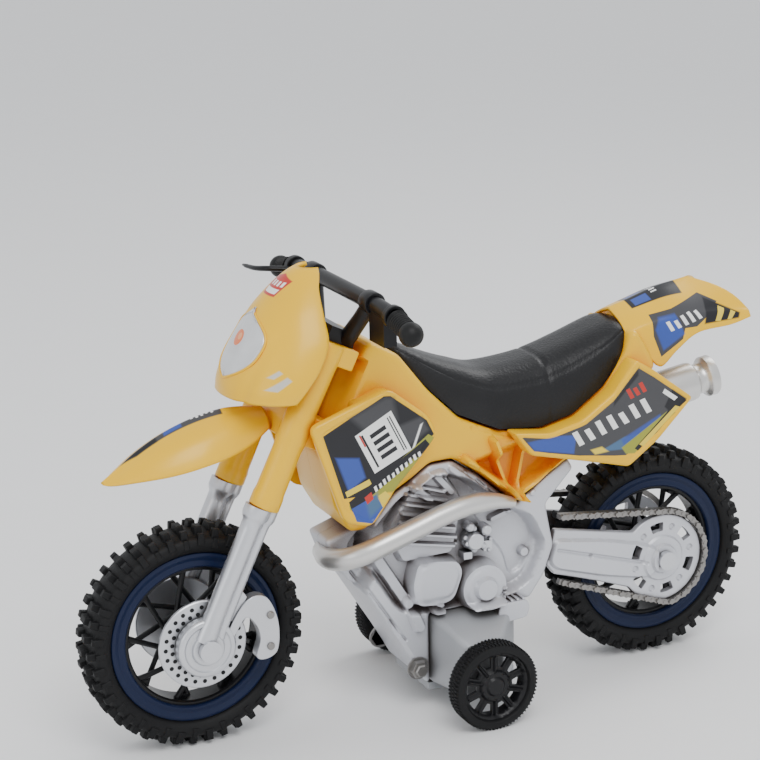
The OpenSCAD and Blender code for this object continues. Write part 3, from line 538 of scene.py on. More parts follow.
# painted shade: near black laid into the corners of the grey housing
grey = finish("grey plastic", (0.38, 0.39, 0.41, 1), 0.48, metal=0.3, grain=0.12,
              painted_corner_shade=(0.08, 0.075, 0.07, 1))
black = finish("black plastic", (0.006, 0.006, 0.007, 1), 0.34, spread=0.3, grain=0.10, shine=0.28)
tyre_rubber = finish("tyre rubber", (0.006, 0.006, 0.0065, 1), 0.55, spread=0.3, grain=0.35, grain_mm=0.7,
                     shine=0.22)
grip_rubber = finish("grip rubber", (0.007, 0.007, 0.007, 1), 0.45, spread=0.25, grain=0.4, grain_mm=0.6,
                     shine=0.25)
navy = finish("navy rim plastic", (0.004, 0.010, 0.038, 1), 0.36, spread=0.2, grain=0.08, shine=0.25)
steel = finish("bright steel", (0.55, 0.55, 0.57, 1), 0.24, metal=1.0, grain=0.03)
dark_steel = finish("plated steel", (0.27, 0.26, 0.25, 1), 0.34, metal=0.85, grain=0.06, spread=0.2, slow=3)
seat_skin = finish("grained seat plastic", (0.009, 0.009, 0.010, 1), 0.36, spread=0.35, slow=12, grain=1.0,
                   grain_mm=1.1, shine=0.3)
amber = finish("amber lamp", (0.85, 0.25, 0.02, 1), 0.2, coat=0.5)
white_gear = finish("white gear plastic", (0.72, 0.71, 0.67, 1), 0.42, grain=0.1)
turned_metal = finish("turned flywheel", (0.30, 0.30, 0.31, 1), 0.35, metal=1.0, grain=0.15)
cell_skin = finish("button cell steel", (0.66, 0.66, 0.68, 1), 0.22, metal=1.0, grain=0.05)
board_skin = finish("circuit board", (0.01, 0.12, 0.05, 1), 0.4, spread=0.25, slow=5)
red_plastic = finish("red plastic", (0.55, 0.02, 0.015, 1), 0.3, coat=0.2)

SLOT_FINISH = {
    "tyre": tyre_rubber, "rim_blue": navy, "black_plastic": black, "yellow_plastic": yellow,
    "silver_paint": silver, "engine_silver": engine_silver, "grey_plastic": grey, "seat_black": seat_skin,
    "lens": lens_skin, "amber": amber, "steel": steel, "grip_rubber": grip_rubber,
    "flywheel_metal": turned_metal, "gear_plastic": white_gear, "cell_metal": cell_skin,
    "board": board_skin,
    "red_plastic": red_plastic,
}
print(len(bpy.data.materials), "finishes")

# %% [markdown]
# ## Big wheels
# Each wheel is a black knobby tyre, a dark blue ring and a black spoke moulding. The tyre's body
# is a turned profile. Its lugs are one small tapered block, copied round the wheel by an array of
# angles: a row holds a middle block or a pair, and every row has a shoulder block on each side.

# %% Blocks round a wheel
ROWS = 42
SPOKES = 9


def tapered(half_t, y0, y1, r0, r1, shrink=0.8):
    """Eight corners (along the tread, across it, outwards), narrower at the top by shrink."""
    mid = (y0 + y1) / 2
    low = [(-half_t, y0, r0), (half_t, y0, r0), (half_t, y1, r0), (-half_t, y1, r0)]
    top = [(t * shrink, mid + (y - mid) * shrink, r1) for t, y, _ in low]
    faces = [[3, 2, 1, 0], [4, 5, 6, 7]] + [[i, (i + 1) % 4, 4 + (i + 1) % 4, 4 + i] for i in range(4)]
    return np.array(low + top), faces


def around(block_shape, angles, x, z):
    """The block copied to each angle round the Y axis: across stays, outwards and along turn."""
    p, faces = block_shape
    c, s = np.cos(angles)[:, None], np.sin(angles)[:, None]
    along, across, out = p[:, 0][None], p[:, 1][None], p[:, 2][None]
    q = np.stack([x + out * c - along * s, np.broadcast_to(across, (len(angles), len(p))),
                  z + out * s + along * c], -1)
    n = len(p)
    all_faces = [[v + k * n for v in face] for k in range(len(angles)) for face in faces]
    return q.reshape(-1, 3), all_faces


def make_wheel(which, x):
    """Tyre body and lugs, blue ring, and the spoke moulding with its hub."""
    body = which + "_wheel"
    shell = smooth_path([
        (33.6, -6.2, 0), (34.6, -8.0, 0), (37.5, -9.2, 0), (39.8, -8.2, 0), (41.0, -5.0, 0), (41.5, 0, 0),
        (41.0, 5.0, 0), (39.8, 8.2, 0), (37.5, 9.2, 0), (34.6, 8.0, 0), (33.6, 6.2, 0)], 4)[:, :2]
    piece(which + "_tyre_body", turned(shell, x, WHEEL_R, 144), body, tyre_rubber,
          [which + "_tyre"], crease_deg=50)
    angles = np.arange(ROWS) * 2 * np.pi / ROWS
    even, odd = angles[::2], angles[1::2]
    rows = [(1.75, -3.3, 3.3, 40.8, 43.95, even)]
    for half, y0, y1, r0, r1, where in (
            (1.65, 1.2, 6.0, 40.2, 43.9, odd), (1.6, 4.9, 8.0, 39.6, 43.2, even),
            (1.5, 7.2, 9.75, 37.4, 42.0, odd), (1.2, 7.6, 9.5, 36.2, 40.2, even)):
        rows += [(half, y0, y1, r0, r1, where), (half, -y1, -y0, r0, r1, where)]
    lugs = join(*[around(tapered(*row[:5]), row[5], x, WHEEL_R) for row in rows])
    piece(which + "_tyre_lugs", lugs, body, tyre_rubber, bevel=0.35)
    ring = [(27.8, -6.3), (28.6, -7.2), (30.6, -6.6), (32.4, -7.4), (33.7, -7.0), (33.7, 7.0),
            (32.4, 7.4), (30.6, 6.6), (28.6, 7.2), (27.8, 6.3)]
    piece(which + "_rim_ring", turned(ring, x, WHEEL_R, 120), body, navy, [which + "_rim"],
          bevel=0.3)
    hub = [(1.6, -11.2), (4.2, -11.2), (4.9, -10.6), (5.2, -5.2), (8.4, -4.6), (8.9, -3.9), (8.9, 3.9),
           (8.4, 4.6), (5.2, 5.2), (4.9, 10.6), (4.2, 11.2), (1.6, 11.2)]
    hoop = [(26.2, -4.6), (26.8, -5.4), (27.9, -5.4), (27.9, 5.4), (26.8, 5.4), (26.2, 4.6)]
    parts = [turned(hub, x, WHEEL_R, 64), turned(hoop, x, WHEEL_R, 120)]
    for turn in np.arange(SPOKES) * math.radians(360 / SPOKES):
        for side in (-1, 1):
            a, b = turn - side * math.radians(67.7), turn + side * math.radians(6)
            t = np.linspace(0, 1, 7)[:, None]
            start = np.array([x + 8 * math.cos(a), 3.0 * side, WHEEL_R + 8 * math.sin(a)])
            end = np.array([x + 27 * math.cos(b), 1.3 * side, WHEEL_R + 27 * math.sin(b)])
            thick = 1.05 + 0.35 * (2 * t[:, 0] - 1) ** 4
            parts.append(tube(start * (1 - t) + end * t, thick, 10))
    nuts = around(tapered(1.5, -1.9, 1.9, 24.6, 26.6, 0.9), np.arange(SPOKES)
                  * math.radians(360 / SPOKES), x, WHEEL_R)
    piece(which + "_spoke_moulding", join(*parts, nuts), body, black, [which + "_spokes"])


make_wheel("front", AXLE_X)
make_wheel("rear", -AXLE_X)

# %% [markdown]
# ## Fork
# The fork leans, so it is drawn upright in its own frame and then turned about the axle. A lower
# leg is one outline carried up the leg: a wide round in front, a thin rib behind, and a groove
# between them. The yellow yoke has two sleeves, two crowns and rounded corners.

# %% Lower legs, discs and axle caps
def leg_section(wide, thin, count=48):
    """Outline round two circles seen from a point between them: the further of the two at each angle."""
    a = np.linspace(0, 2 * np.pi, count, endpoint=False)
    ray = np.column_stack([np.cos(a), np.sin(a)])
    reach = np.full(count, 1.9)
    for cx, r in ((1.9, wide), (-3.0, thin)):
        along = ray[:, 0] * cx
        inside = along**2 - cx**2 + r**2
        reach = np.maximum(reach, np.where(inside > 0, along + np.sqrt(np.maximum(inside, 0)), 0))
    return ray * reach[:, None]


def swept_up(sections, heights, y):
    """Sections stacked at their heights, closed at both ends."""
    n = len(sections[0])
    p = np.vstack([np.column_stack([s[:, 0], y + s[:, 1], np.full(n, z)]) for s,
                   z in zip(sections, heights)])
    faces = grid_faces(len(sections), n, wrap_cols=True)
    return p, faces + end_caps(len(sections), n)


LEG_Y = 18.0
heights = [2, 6, 9, 14, 48, 51, 52, 53.5, 56.9, 57]
swell = [(4.6, 2.6), (4.4, 2.4), (4.1, 2.2), (3.9, 2.1), (3.9, 2.1), (4.0, 2.2), (4.6, 2.7), (5.2, 3.2),
         (5.2, 3.2), (5.0, 3.0)]
lower_leg = leaning(swept_up([leg_section(*s) for s in swell], heights, LEG_Y))
boss = turned([(1.7, 14.9), (10.8, 14.9), (11.5, 15.5), (11.5, 19.0), (10.9, 19.8), (9.4, 20.1),
               (8.9, 19.5),
               (6.6, 19.5), (6.1, 20.9), (1.7, 20.9)], AXLE_X, WHEEL_R, 72)
curve = smooth_path([(-9, 6, 0), (-14, 14, 0), (-19, 17.5, 0), (-24.5, 16, 0), (-28.2, 8, 0), (-29, 0, 0),
                     (-27.6, -6.5, 0),
                     (-23, -8.6, 0), (-19.5, -7, 0), (-21.3, 0, 0), (-19.6, 6, 0), (-15.5, 9.5, 0),
                     (-10, 2, 0)], 5, True)
caliper = block(curve[:, :2] + [AXLE_X, WHEEL_R], 14.7, 19.6)
mount_bar = leaning(block([(-7.0, 13), (-2.5, 11), (-2.5, 26), (-7.6, 23)], 15.0, 18.6))
screws_on = [turned([(0.01, 19.4), (1.5, 19.4), (1.5, 20.2), (1.2, 20.6), (0.01, 20.6)], AXLE_X + px,
                    WHEEL_R + pz, 18)
             for px, pz in ((-25.5, 9.0), (-25.2, -3.6))]
disc_body = []
for radius, count, offset in ((14.9, 24, 0.0), (12.4, 24, 7.5)):
    for turn in np.radians(np.arange(count) * 15 + offset):
        disc_body.append(turned([(0.01, 14.3), (0.85, 14.3), (0.85, 14.56), (0.01, 14.56)],
                                AXLE_X + radius * math.cos(turn), WHEEL_R + radius * math.sin(turn), 12))
plate = turned([(3.0, 12.8), (17.0, 12.8), (17.4, 13.1), (17.4, 14.2), (17.0, 14.5), (10.0, 14.5),
                (9.6, 14.1), (3.0, 14.1)],
               AXLE_X, WHEEL_R, 96)
for side, flip in SIDES:
    piece("fork_lower_" + side, flip(lower_leg), "fork", silver, ["fork_leg_" + side],
          crease_deg=40)
    piece("axle_boss_" + side, flip(boss), "fork", silver, bevel=0.25)
    piece("brake_caliper_" + side, flip(join(caliper, mount_bar)), "fork", silver,
          bevel=0.7, rounds=3)
    piece("caliper_bolts_" + side, flip(join(*screws_on)), "fork", dark_steel)
    piece("brake_plate_" + side, flip(plate), "fork", silver, ["brake_disc_" + side])
    piece("brake_plate_holes_" + side, flip(join(*disc_body)), "fork", black)

# %% Yoke and sleeves
def crown(z0, z1, front, back, ends, taper):
    """A bridge between the sleeves: straight behind, bowed in front, ends narrower by taper."""
    y = np.linspace(-ends, ends, 25)
    bow = front - taper * np.abs(y / ends) ** 2.5
    rear = back + taper * 0.6 * np.abs(y / ends) ** 2.5
    outline = np.concatenate([np.column_stack([bow, y]), np.column_stack([rear, y])[::-1]])
    n = len(outline)
    p = np.vstack([np.column_stack([outline, np.full(n, z)]) for z in (z0, z1)])
    faces = [[i, (i + 1) % n, n + (i + 1) % n, n + i] for i in range(n)]
    return p, faces + end_caps(2, n)


def sleeve():
    """Turned tube up the leg's line: a thick foot, a slight waist and a thick top, with a panel line."""
    z = np.array([57, 57.6, 62, 63, 64, 80, 83, 84.2, 95.5, 96.5, 103, 114, 117, 123.2, 124])
    r = np.array([5.7, 6.0, 6.0, 5.8, 5.65, 5.5, 5.7, 6.0, 6.0, 5.5, 5.6, 5.8, 6.0, 6.0, 5.5])
    a = np.linspace(0, 2 * np.pi, 48, endpoint=False)
    p = np.stack([np.outer(r, np.cos(a)), LEG_Y + np.outer(r, np.sin(a)) * 0.98,
                  np.repeat(z[:, None], 48, 1)], -1)
    faces = grid_faces(len(z), 48, wrap_cols=True)
    return p.reshape(-1, 3), faces + end_caps(len(z), 48)


yoke = leaning(join(sleeve(), mirrored(sleeve()), crown(84, 95.4, 5.2, -12.8, LEG_Y + 3.4, 2.4),
                    crown(116.2, 124, 5.0, -12.8, LEG_Y + 3.4, 2.4)))
piece("fork_yoke_moulding", yoke, "fork", yellow, ["fork_yoke"], bevel=0.9, rounds=3)

# %% [markdown]
# ## Sheets: front mudguard, cowl, lens and tail
# Mudguards and cowl are thin shells. Each is one surface of two parameters, along the bike and
# across it, and gets its wall from a Solidify modifier. The ridge in the middle is sharp, so the
# fall to the sides follows a power of the distance from the ridge.

# %% Mudguard
def through(knots, t):
    """Value at t of a smooth curve through (t, value) knots."""
    q = smooth_path([(k, v, 0) for k, v in knots], 10)
    return np.interp(t, q[:, 0], q[:, 1])


def sheet(u, v, place):
    """Grid of points place(u, v) with its faces."""
    uu, vv = np.meshgrid(u, v, indexing="ij")
    return np.stack(place(uu, vv), -1).reshape(-1, 3), grid_faces(len(u), len(v))


def mudguard(u, v):
    """Spine height less a fall that grows towards the edges; a raised ridge; the width closes at
    the tip."""
    x = 67.6 + 63.9 * u
    spine = through([(67, 129.9), (76, 130.7), (86, 130.2), (97, 127.9), (108, 123.9), (118, 118.5),
                     (126, 112.7), (131.6, 108.9)], x)
    edge = through([(67, 124.5), (76, 119.5), (86, 116.6), (97, 114.6), (108, 112.6), (118, 111.2),
                    (126, 109.9), (131.6, 108.4)], x)
    half = through([(67, 9.2), (76, 12), (86, 14.6), (97, 15.8), (108, 14.2), (118, 10.8), (126, 6.3),
                    (131.6, 1.0)], x)
    ridge = 0.9 * np.exp(-(v * half / 1.6) ** 2) * np.clip((x - 70) / 12, 0, 1)
    fall = (spine - edge) * (0.55 * np.abs(v) ** 1.6 + 0.45 * np.abs(v) ** 5)
    return x, half * v, spine - fall + ridge - 0.9


piece("front_mudguard", sheet(np.linspace(0, 1, 70), np.linspace(-1, 1, 57), mudguard), "fork",
                    fender_skin, ["front_fender"], solid=1.6, crease_deg=45)

# %% Cowl and lens
CHIN_Z, COWL_TALL = 136, 45.3


def cowl_at(z, a):
    """Plan curve at height z: an ellipse from the rear edge round the nose; a is its angle."""
    nose = through([(136, 83.5), (141, 82.8), (148, 80.2), (157, 75.0), (166, 69.0), (174, 61.5),
                    (179, 55.5), (181.4, 51.0)], z)
    rear = through([(136, 64.0), (141, 60.0), (148, 54.5), (157, 49.8), (166, 49.2), (174, 48.2),
                    (179, 46.0), (181.4, 45.0)], z)
    half = through([(136, 27.5), (141, 28.3), (148, 27.9), (157, 25.4), (166, 20.2), (174, 13.8),
                    (179, 9.0), (181.4, 5.6)], z)
    c, s = np.cos(a), np.sin(a)
    return rear + (nose - rear) * c, half * s


def cowl_surface(u, v):
    """Heights from the chin to the crest; a soft step runs along the cheek below the window."""
    z = CHIN_Z + COWL_TALL * u
    a = v * np.pi / 2
    x, y = cowl_at(z, a)
    cheek = 0.8 * np.exp(-((np.abs(y) - 15 - (z - 140) * 0.1) / 2.2) ** 2) * np.clip((162 - z) / 12, 0, 1)
    return x - cheek, y, z


def lens_surface(grow, lift):
    """The pointed oval between two arcs, laid on the cowl and lifted off it."""
    t = np.linspace(-1, 1, 41)
    z = 156.4 + (11.4 + grow) * t
    half = (14.2 + grow) * (1 - np.abs(t) ** 2.6) + 0.05
    v = np.linspace(-1, 1, 31)
    y = half[:, None] * v[None]
    zz = np.repeat(z[:, None], 31, 1) - 2.2 * np.abs(v)[None] ** 2
    width = cowl_at(zz, np.full_like(zz, np.pi / 2))[1]
    a = np.arcsin(np.clip(y / width, -0.98, 0.98))
    x, _ = cowl_at(zz, a)
    crown_lift = lift * (1 - 0.7 * np.abs(v)[None] ** 3)
    return np.stack([x + crown_lift, y, zz], -1).reshape(-1, 3), grid_faces(41, 31)


piece("cowl_moulding", sheet(np.linspace(0, 1, 60), np.linspace(-1, 1, 73), cowl_surface), "fork",
             cowl_skin, ["headlight_cowl"], solid=1.6, crease_deg=45)
piece("headlight_glass", lens_surface(0.0, 0.45), "fork", lens_skin, ["headlight_lens", "lamp"],
             solid=0.5, crease_deg=50)
bezel_points = lens_surface(0.45, 0.0)[0].reshape(41, 31, 3)
edge_loop = np.vstack([bezel_points[:, 0], bezel_points[::-1, -1][1:-1]])
bezel_tube = tube(np.vstack([edge_loop, edge_loop[:1]]), 0.5, 8, caps=False)
piece("headlight_bezel", bezel_tube, "fork", yellow, crease_deg=60)
arm_struts = leaning(join(*[box_between((5.5, s * LEG_Y - 1.6, 106.4),
                                        (20.0, s * LEG_Y + 1.6, 109.4)) for s in (-1, 1)]))
piece("cowl_arms", arm_struts, "fork", yellow, bevel=0.5)

# %% Tail
def tail_surface(u, v):
    """Ridge height less a fall towards the edges; the far edge is a swallow tail; skirts turn down
    at the sides."""
    w = np.abs(v)
    top = np.clip(w, 0, 0.62) / 0.62
    skirt = np.clip((w - 0.62) / 0.38, 0, 1)
    side = np.sign(v)
    end = -119.5 - 18.0 * top ** 1.2
    x = -82.6 + (end + 82.6) * u ** 1.05
    ridge = through([(-139, 161.5), (-119, 157.2), (-106, 155.2), (-98, 153.0), (-92, 151.2),
                     (-82, 148.6)], x)
    edge = through([(-138, 145.4), (-128, 146.4), (-113, 146.8), (-104, 146.4), (-97, 145.4),
                    (-88, 143.4), (-82, 141.6)], x)
    low = through([(-138, 142.6), (-128, 140.4), (-113, 139.0), (-104, 133.0), (-97, 126.6), (-92, 130.5),
                   (-86, 137.0), (-82, 139.6)], x)
    half = through([(-138, 20.0), (-126, 20.2), (-113, 20.0), (-104, 19.2), (-97, 18.2), (-90, 17.2),
                    (-82, 15.4)], x)
    z_top = ridge - (ridge - edge) * (0.72 * top ** 1.15 + 0.28 * top ** 4)
    z = z_top * (1 - skirt) + np.minimum(low, z_top) * skirt
    y = side * half * (0.86 * top + 0.14 * np.sqrt(skirt))
    return x, y, z


piece("tail_mudguard", sheet(np.linspace(0, 1, 80), np.linspace(-1, 1, 81), tail_surface), "chassis",
             tail_skin, ["tail_fender"], solid=1.4, crease_deg=38)

# %% [markdown]
# ## Reliefs
# The shell, panels, engine and swingarm are mouldings that open sideways, so each half is a height
# over a side view. Points are laid inside the outline and in rows close to its edge, joined into
# triangles, and lifted to a height that rolls off at the edge. Raised ribs and sunk pockets are
# added to the height with a smooth ramp across their own outlines.

# %% Relief helpers
def resample(outline, step):
    """Points about one step apart along a closed outline, with its corners kept."""
    q = np.asarray(outline, float)
    out = []
    for a, b in zip(q, np.roll(q, -1, axis=0)):
        n = max(1, int(round(np.linalg.norm(b - a) / step)))
        out.append(a + (b - a) * np.linspace(0, 1, n, endpoint=False)[:, None])
    return np.vstack(out)


def rounded(outline, radius, steps=5):
    """The outline with each corner replaced by a quadratic curve between points one radius from it."""
    q = np.asarray(outline, float)
    t = np.linspace(0, 1, steps)[:, None]
    out = []
    for p, c, n in zip(np.roll(q, 1, axis=0), q, np.roll(q, -1, axis=0)):
        reach_p = min(radius, 0.45 * np.linalg.norm(p - c))
        reach_n = min(radius, 0.45 * np.linalg.norm(n - c))
        a = c + (p - c) / np.linalg.norm(p - c) * reach_p
        b = c + (n - c) / np.linalg.norm(n - c) * reach_n
        out.append((1 - t) ** 2 * a + 2 * t * (1 - t) * c + t**2 * b)
    return np.vstack(out)


def depth_in(points, outline):
    """Distance from each point to the outline: positive inside, negative outside."""
    p, q = np.asarray(points, float), np.asarray(outline, float)
    best = np.full(len(p), 1e9)
    inside = np.zeros(len(p), bool)
    for a, b in zip(q, np.roll(q, -1, axis=0)):
        edge = b - a
        t = np.clip(((p - a) @ edge) / max(edge @ edge, 1e-9), 0, 1)
        best = np.minimum(best, np.linalg.norm(p - a - t[:, None] * edge, axis=1))
        crosses = (a[1] > p[:, 1]) != (b[1] > p[:, 1])
        rise = b[1] - a[1] if abs(b[1] - a[1]) > 1e-12 else 1e-12
        inside ^= crosses & (p[:, 0] < a[0] + (p[:, 1] - a[1]) / rise * edge[0])
    return np.where(inside, best, -best)


def ramp(distance, width):
    """Smooth step from 0 to 1 over the given width inside an edge."""
    t = np.clip(distance / width, 0, 1)
    return t * t * (3 - 2 * t)


def raised(outline, height, width=0.8):
    """A feature: height inside the outline, reached over width."""
    def feature(p):
        return height * ramp(depth_in(p, outline) + width / 2, width)

    feature.guide = (np.asarray(outline, float), width)
    return feature


def round_boss(x, z, radius, height, width=0.6):
    """A round feature with a ramp at its edge."""
    def feature(p):
        return height * ramp(radius - np.hypot(p[:, 0] - x, p[:, 1] - z) + width / 2, width)

    a = np.linspace(0, 2 * np.pi, max(12, int(radius * 7)), endpoint=False)
    feature.guide = (arc(x, z, radius, a), width)
    return feature


def bar_between(a, b, half_width, height, width=0.6):
    """A straight rib or groove with round ends."""
    a, b = np.asarray(a, float), np.asarray(b, float)

    def feature(p):
        t = np.clip(((p - a) @ (b - a)) / ((b - a) @ (b - a)), 0, 1)
        far = np.linalg.norm(p - a - t[:, None] * (b - a), axis=1)
        return height * ramp(half_width - far + width / 2, width)

    way = (b - a) / np.linalg.norm(b - a)
    turn = math.atan2(way[1], way[0])
    arc = np.linspace(-np.pi / 2, np.pi / 2, 7)
    ends = [c + half_width * np.column_stack([np.cos(arc + t), np.sin(arc + t)]) for c,
            t in ((b, turn), (a, turn + np.pi))]
    feature.guide = (np.vstack(ends), width)
    return feature


def guide_rows(features, outline, step, edge):
    """Rows of points at the foot, middle and top of every feature's wall, so that its edges come
    out clean."""
    rows = []
    for feature in features:
        if not hasattr(feature, "guide"):
            continue
        loop, width = feature.guide
        row = resample(loop, step * 0.7)
        turn = np.roll(row, -1, axis=0) - np.roll(row, 1, axis=0)
        across = np.column_stack([-turn[:, 1], turn[:, 0]]) / np.maximum(np.linalg.norm(turn, axis=1),
                1e-9)[:, None]
        for share in (-0.5, 0.0, 0.5):
            q = row + across * width * share
            rows.append(q[depth_in(q, outline) > edge * 0.5])
    return np.vstack(rows) if rows else np.zeros((0, 2))


def relief(outline, top, back, edge=1.5, step=1.0, features=(), holes=()):
    """Front face at top less a quarter round at the edge plus features; straight walls; flat back."""
    rim = resample(outline, step)
    turn = np.roll(rim, -1, axis=0) - np.roll(rim, 1, axis=0)
    inward = np.column_stack([-turn[:, 1], turn[:, 0]]) / np.maximum(np.linalg.norm(turn, axis=1),
            1e-9)[:, None]
    if np.median(depth_in(rim + inward * 0.3, outline)) < 0:
        inward = -inward
    sets = [rim]
    for share in (0.08, 0.3, 0.62, 1.0):
        q = rim + inward * edge * share
        sets.append(q[depth_in(q, outline) > 0.85 * edge * share])
    hole_rims = [resample(h, step * 0.8) for h in holes]
    low, high = rim.min(axis=0), rim.max(axis=0)
    gx, gz = np.meshgrid(np.arange(low[0], high[0], step), np.arange(low[1], high[1], step))
    grid = np.column_stack([gx.ravel() + (np.arange(gx.size) // gx.shape[1] % 2) * step / 2, gz.ravel()])
    keep = depth_in(grid, outline) > edge + 0.4 * step
    guides = guide_rows(features, outline, step, edge)
    for h in holes:
        keep &= np.abs(depth_in(grid, h)) > 0.4 * step
    grid = grid[keep]
    if len(guides):
        cells = {tuple(c) for c in np.round(guides / (0.6 * step)).astype(int)}
        free = [tuple(c) not in cells for c in np.round(grid / (0.6 * step)).astype(int)]
        grid = grid[np.array(free)]
    sets += [grid] + hole_rims + [guides]
    flat = np.vstack(sets)
    counts = np.cumsum([0] + [len(s) for s in sets])
    edges = [(i, (i + 1) % len(rim)) for i in range(len(rim))]
    for k in range(len(holes)):
        start = counts[6 + k]
        n = len(hole_rims[k])
        edges += [(start + i, start + (i + 1) % n) for i in range(n)]
    done = delaunay_2d_cdt([Vector(p) for p in flat], edges, [list(range(len(rim)))], 1, 1e-5)
    flat = np.array([tuple(v) for v in done[0]])
    faces = np.array(done[2])
    centres = flat[faces].mean(axis=1)
    for h in holes:
        solid_part = depth_in(centres, h) < 0
        faces, centres = faces[solid_part], centres[solid_part]
    d = np.clip(depth_in(flat, outline), 0, edge) / edge
    roll = edge * (1 - np.sqrt(np.clip(1 - (1 - d) ** 2, 0, 1)))
    height = (top(flat) if callable(top) else np.full(len(flat), float(top))) - roll
    for feature in features:
        height = height + feature(flat)
    height = np.maximum(height, back + 0.3)
    n = len(flat)
    points = np.vstack([np.column_stack([flat[:, 0], height, flat[:, 1]]),
                        np.column_stack([flat[:, 0], np.full(n, float(back)), flat[:, 1]])])
    directed = np.vstack([faces[:, [0, 1]], faces[:, [1, 2]], faces[:, [2, 0]]])
    known = {tuple(e) for e in directed.tolist()}
    open_edges = [e for e in known if (e[1], e[0]) not in known]
    walls = [[b, a, a + n, b + n] for a, b in open_edges]
    return points, faces.tolist() + (faces[:, ::-1] + n).tolist() + walls


# %% [markdown]
# ## Yellow shell
# The middle shell runs from the head to the tail. A shroud with the plate sticker stands off it,
# and a side panel closes it under the seat. Between them a narrow V reaches down to the engine,
# folded inwards so that light turns orange in its corner, and braced by thin ribs.

# %% Shell, shrouds and side panels
FRAME_Y = 19.0
FRAME_OUTLINE = [
    (38, 142.3), (30, 153.5), (18, 146.6), (6, 131.1), (-7, 118.1), (-24, 110.3), (-42, 108.7),
    (-56, 112.1),
    (-70, 121.2), (-80, 133.7), (-83, 142.6), (-86, 142.8), (-91.7, 134), (-94.6, 127), (-84, 116.2),
    (-66, 100.2),
    (-54.5, 96.0), (-31, 80.1), (-14.5, 95.0), (-3.8, 102.1), (6, 101.9), (14, 96.5), (22, 92.3),
    (33, 79.4), (40, 79.4), (46, 90), (50, 110), (46.3, 125.2)]
shell_outline = rounded(FRAME_OUTLINE, 2.2, 4)
fold = [(-13, 98), (-31, 83), (-52, 96.2), (-34, 103.5)]
shell_features = [
    raised(rounded(fold, 2), -7.5, 7.0),
    bar_between((-8, 102), (-31, 83.5), 1.3, 6.0, 1.2),
    bar_between((-20, 108), (-29, 84), 1.1, 5.2, 1.0),
    bar_between((-37, 107), (-32, 84), 1.1, 4.6, 1.0),
    bar_between((-56, 97.5), (-31, 82.5), 1.0, 3.6, 1.0),
    bar_between((-12, 113.5), (-30, 107.5), 0.7, -0.8, 0.8),
]
fork_well = leaning(([(-16.5, 0, 90), (24, 0, 90), (24, 0, 121), (-16.5, 0, 121)], []))[0][:, [0, 2]]


def shell_top(p):
    """Flat sides that fall away to let the fork turn at the head."""
    clear = ramp(depth_in(p, fork_well) + 1.5, 3.0)
    return FRAME_Y * (1 - clear) + 8.2 * clear


shell = relief(shell_outline, shell_top, 0.05, edge=3.0, step=1.1, features=shell_features)

SHROUD_OUTLINE = rounded([(59.3, 126.3), (46.4, 87.2), (35.2, 83.9), (24.2, 98.2), (7.4, 116),
                          (10.3, 123.8), (27.1, 137.2)], 3.5, 6)
shroud = relief(SHROUD_OUTLINE, 28.3, 25.5, edge=1.4, step=1.0,
                features=[raised(rounded([(55, 123.8), (46.4, 93), (36.5, 86.2), (33, 88), (22.8, 99.8),
                                          (9.6, 116.6),
                                          (12.3, 122.8), (27, 134.9)], 2.5), -0.5, 0.7)])
neck = relief(rounded([(39.6, 131.6), (39.6, 85.8), (35.4, 84.8), (24.6, 98.6), (8.2, 116.1),
                       (11.0, 123.4), (26.8, 136.4)], 3), 25.8, 17.0,
              edge=0.8, step=1.4)
PANEL_OUTLINE = rounded([(-26.3, 111.2), (-33.5, 101.2), (-54.8, 95.9), (-77.5, 89.9), (-91.2, 99.4),
                         (-106.8, 114.5),
                         (-88.5, 128.3), (-80.2, 133.5), (-70, 121.2), (-56, 112.1), (-42, 109.0)], 1.8, 5)
inner_panel = rounded([(-29.3, 109.6), (-34.6, 102.8), (-55, 97.8), (-77.2, 92.2), (-90, 101),
                       (-103.6, 114.6),
                       (-88.5, 125.8), (-81.4, 130.6), (-70.4, 118.6), (-56.3, 109.8), (-42, 106.8)], 1.8,
                       5)
panel_half = relief(PANEL_OUTLINE, 26.9, FRAME_Y + 0.05, edge=1.3, step=1.1,
                    features=[raised(inner_panel, -0.5, 0.7)])
for side, flip in SIDES:
    piece("shell_" + side, flip(shell), "chassis", yellow, ["frame_" + side],
          crease_deg=50)
    piece("shroud_" + side, flip(shroud), "chassis", shroud_skin, crease_deg=50)
    piece("shroud_neck_" + side, flip(neck), "chassis", yellow, crease_deg=50)
    piece("side_panel_moulding_" + side, flip(panel_half), "chassis", panel_skin, ["side_panel_" + side],
          crease_deg=50)

# %% [markdown]
# ## Seat
# The saddle is one moulded pad with a leather grain, not a stuffed cushion. Its side view dips in
# the middle, its cross-section is a crowned arch that tucks in at the rail, and two details are pressed
# in: a seam along each side and a strap line across the middle.

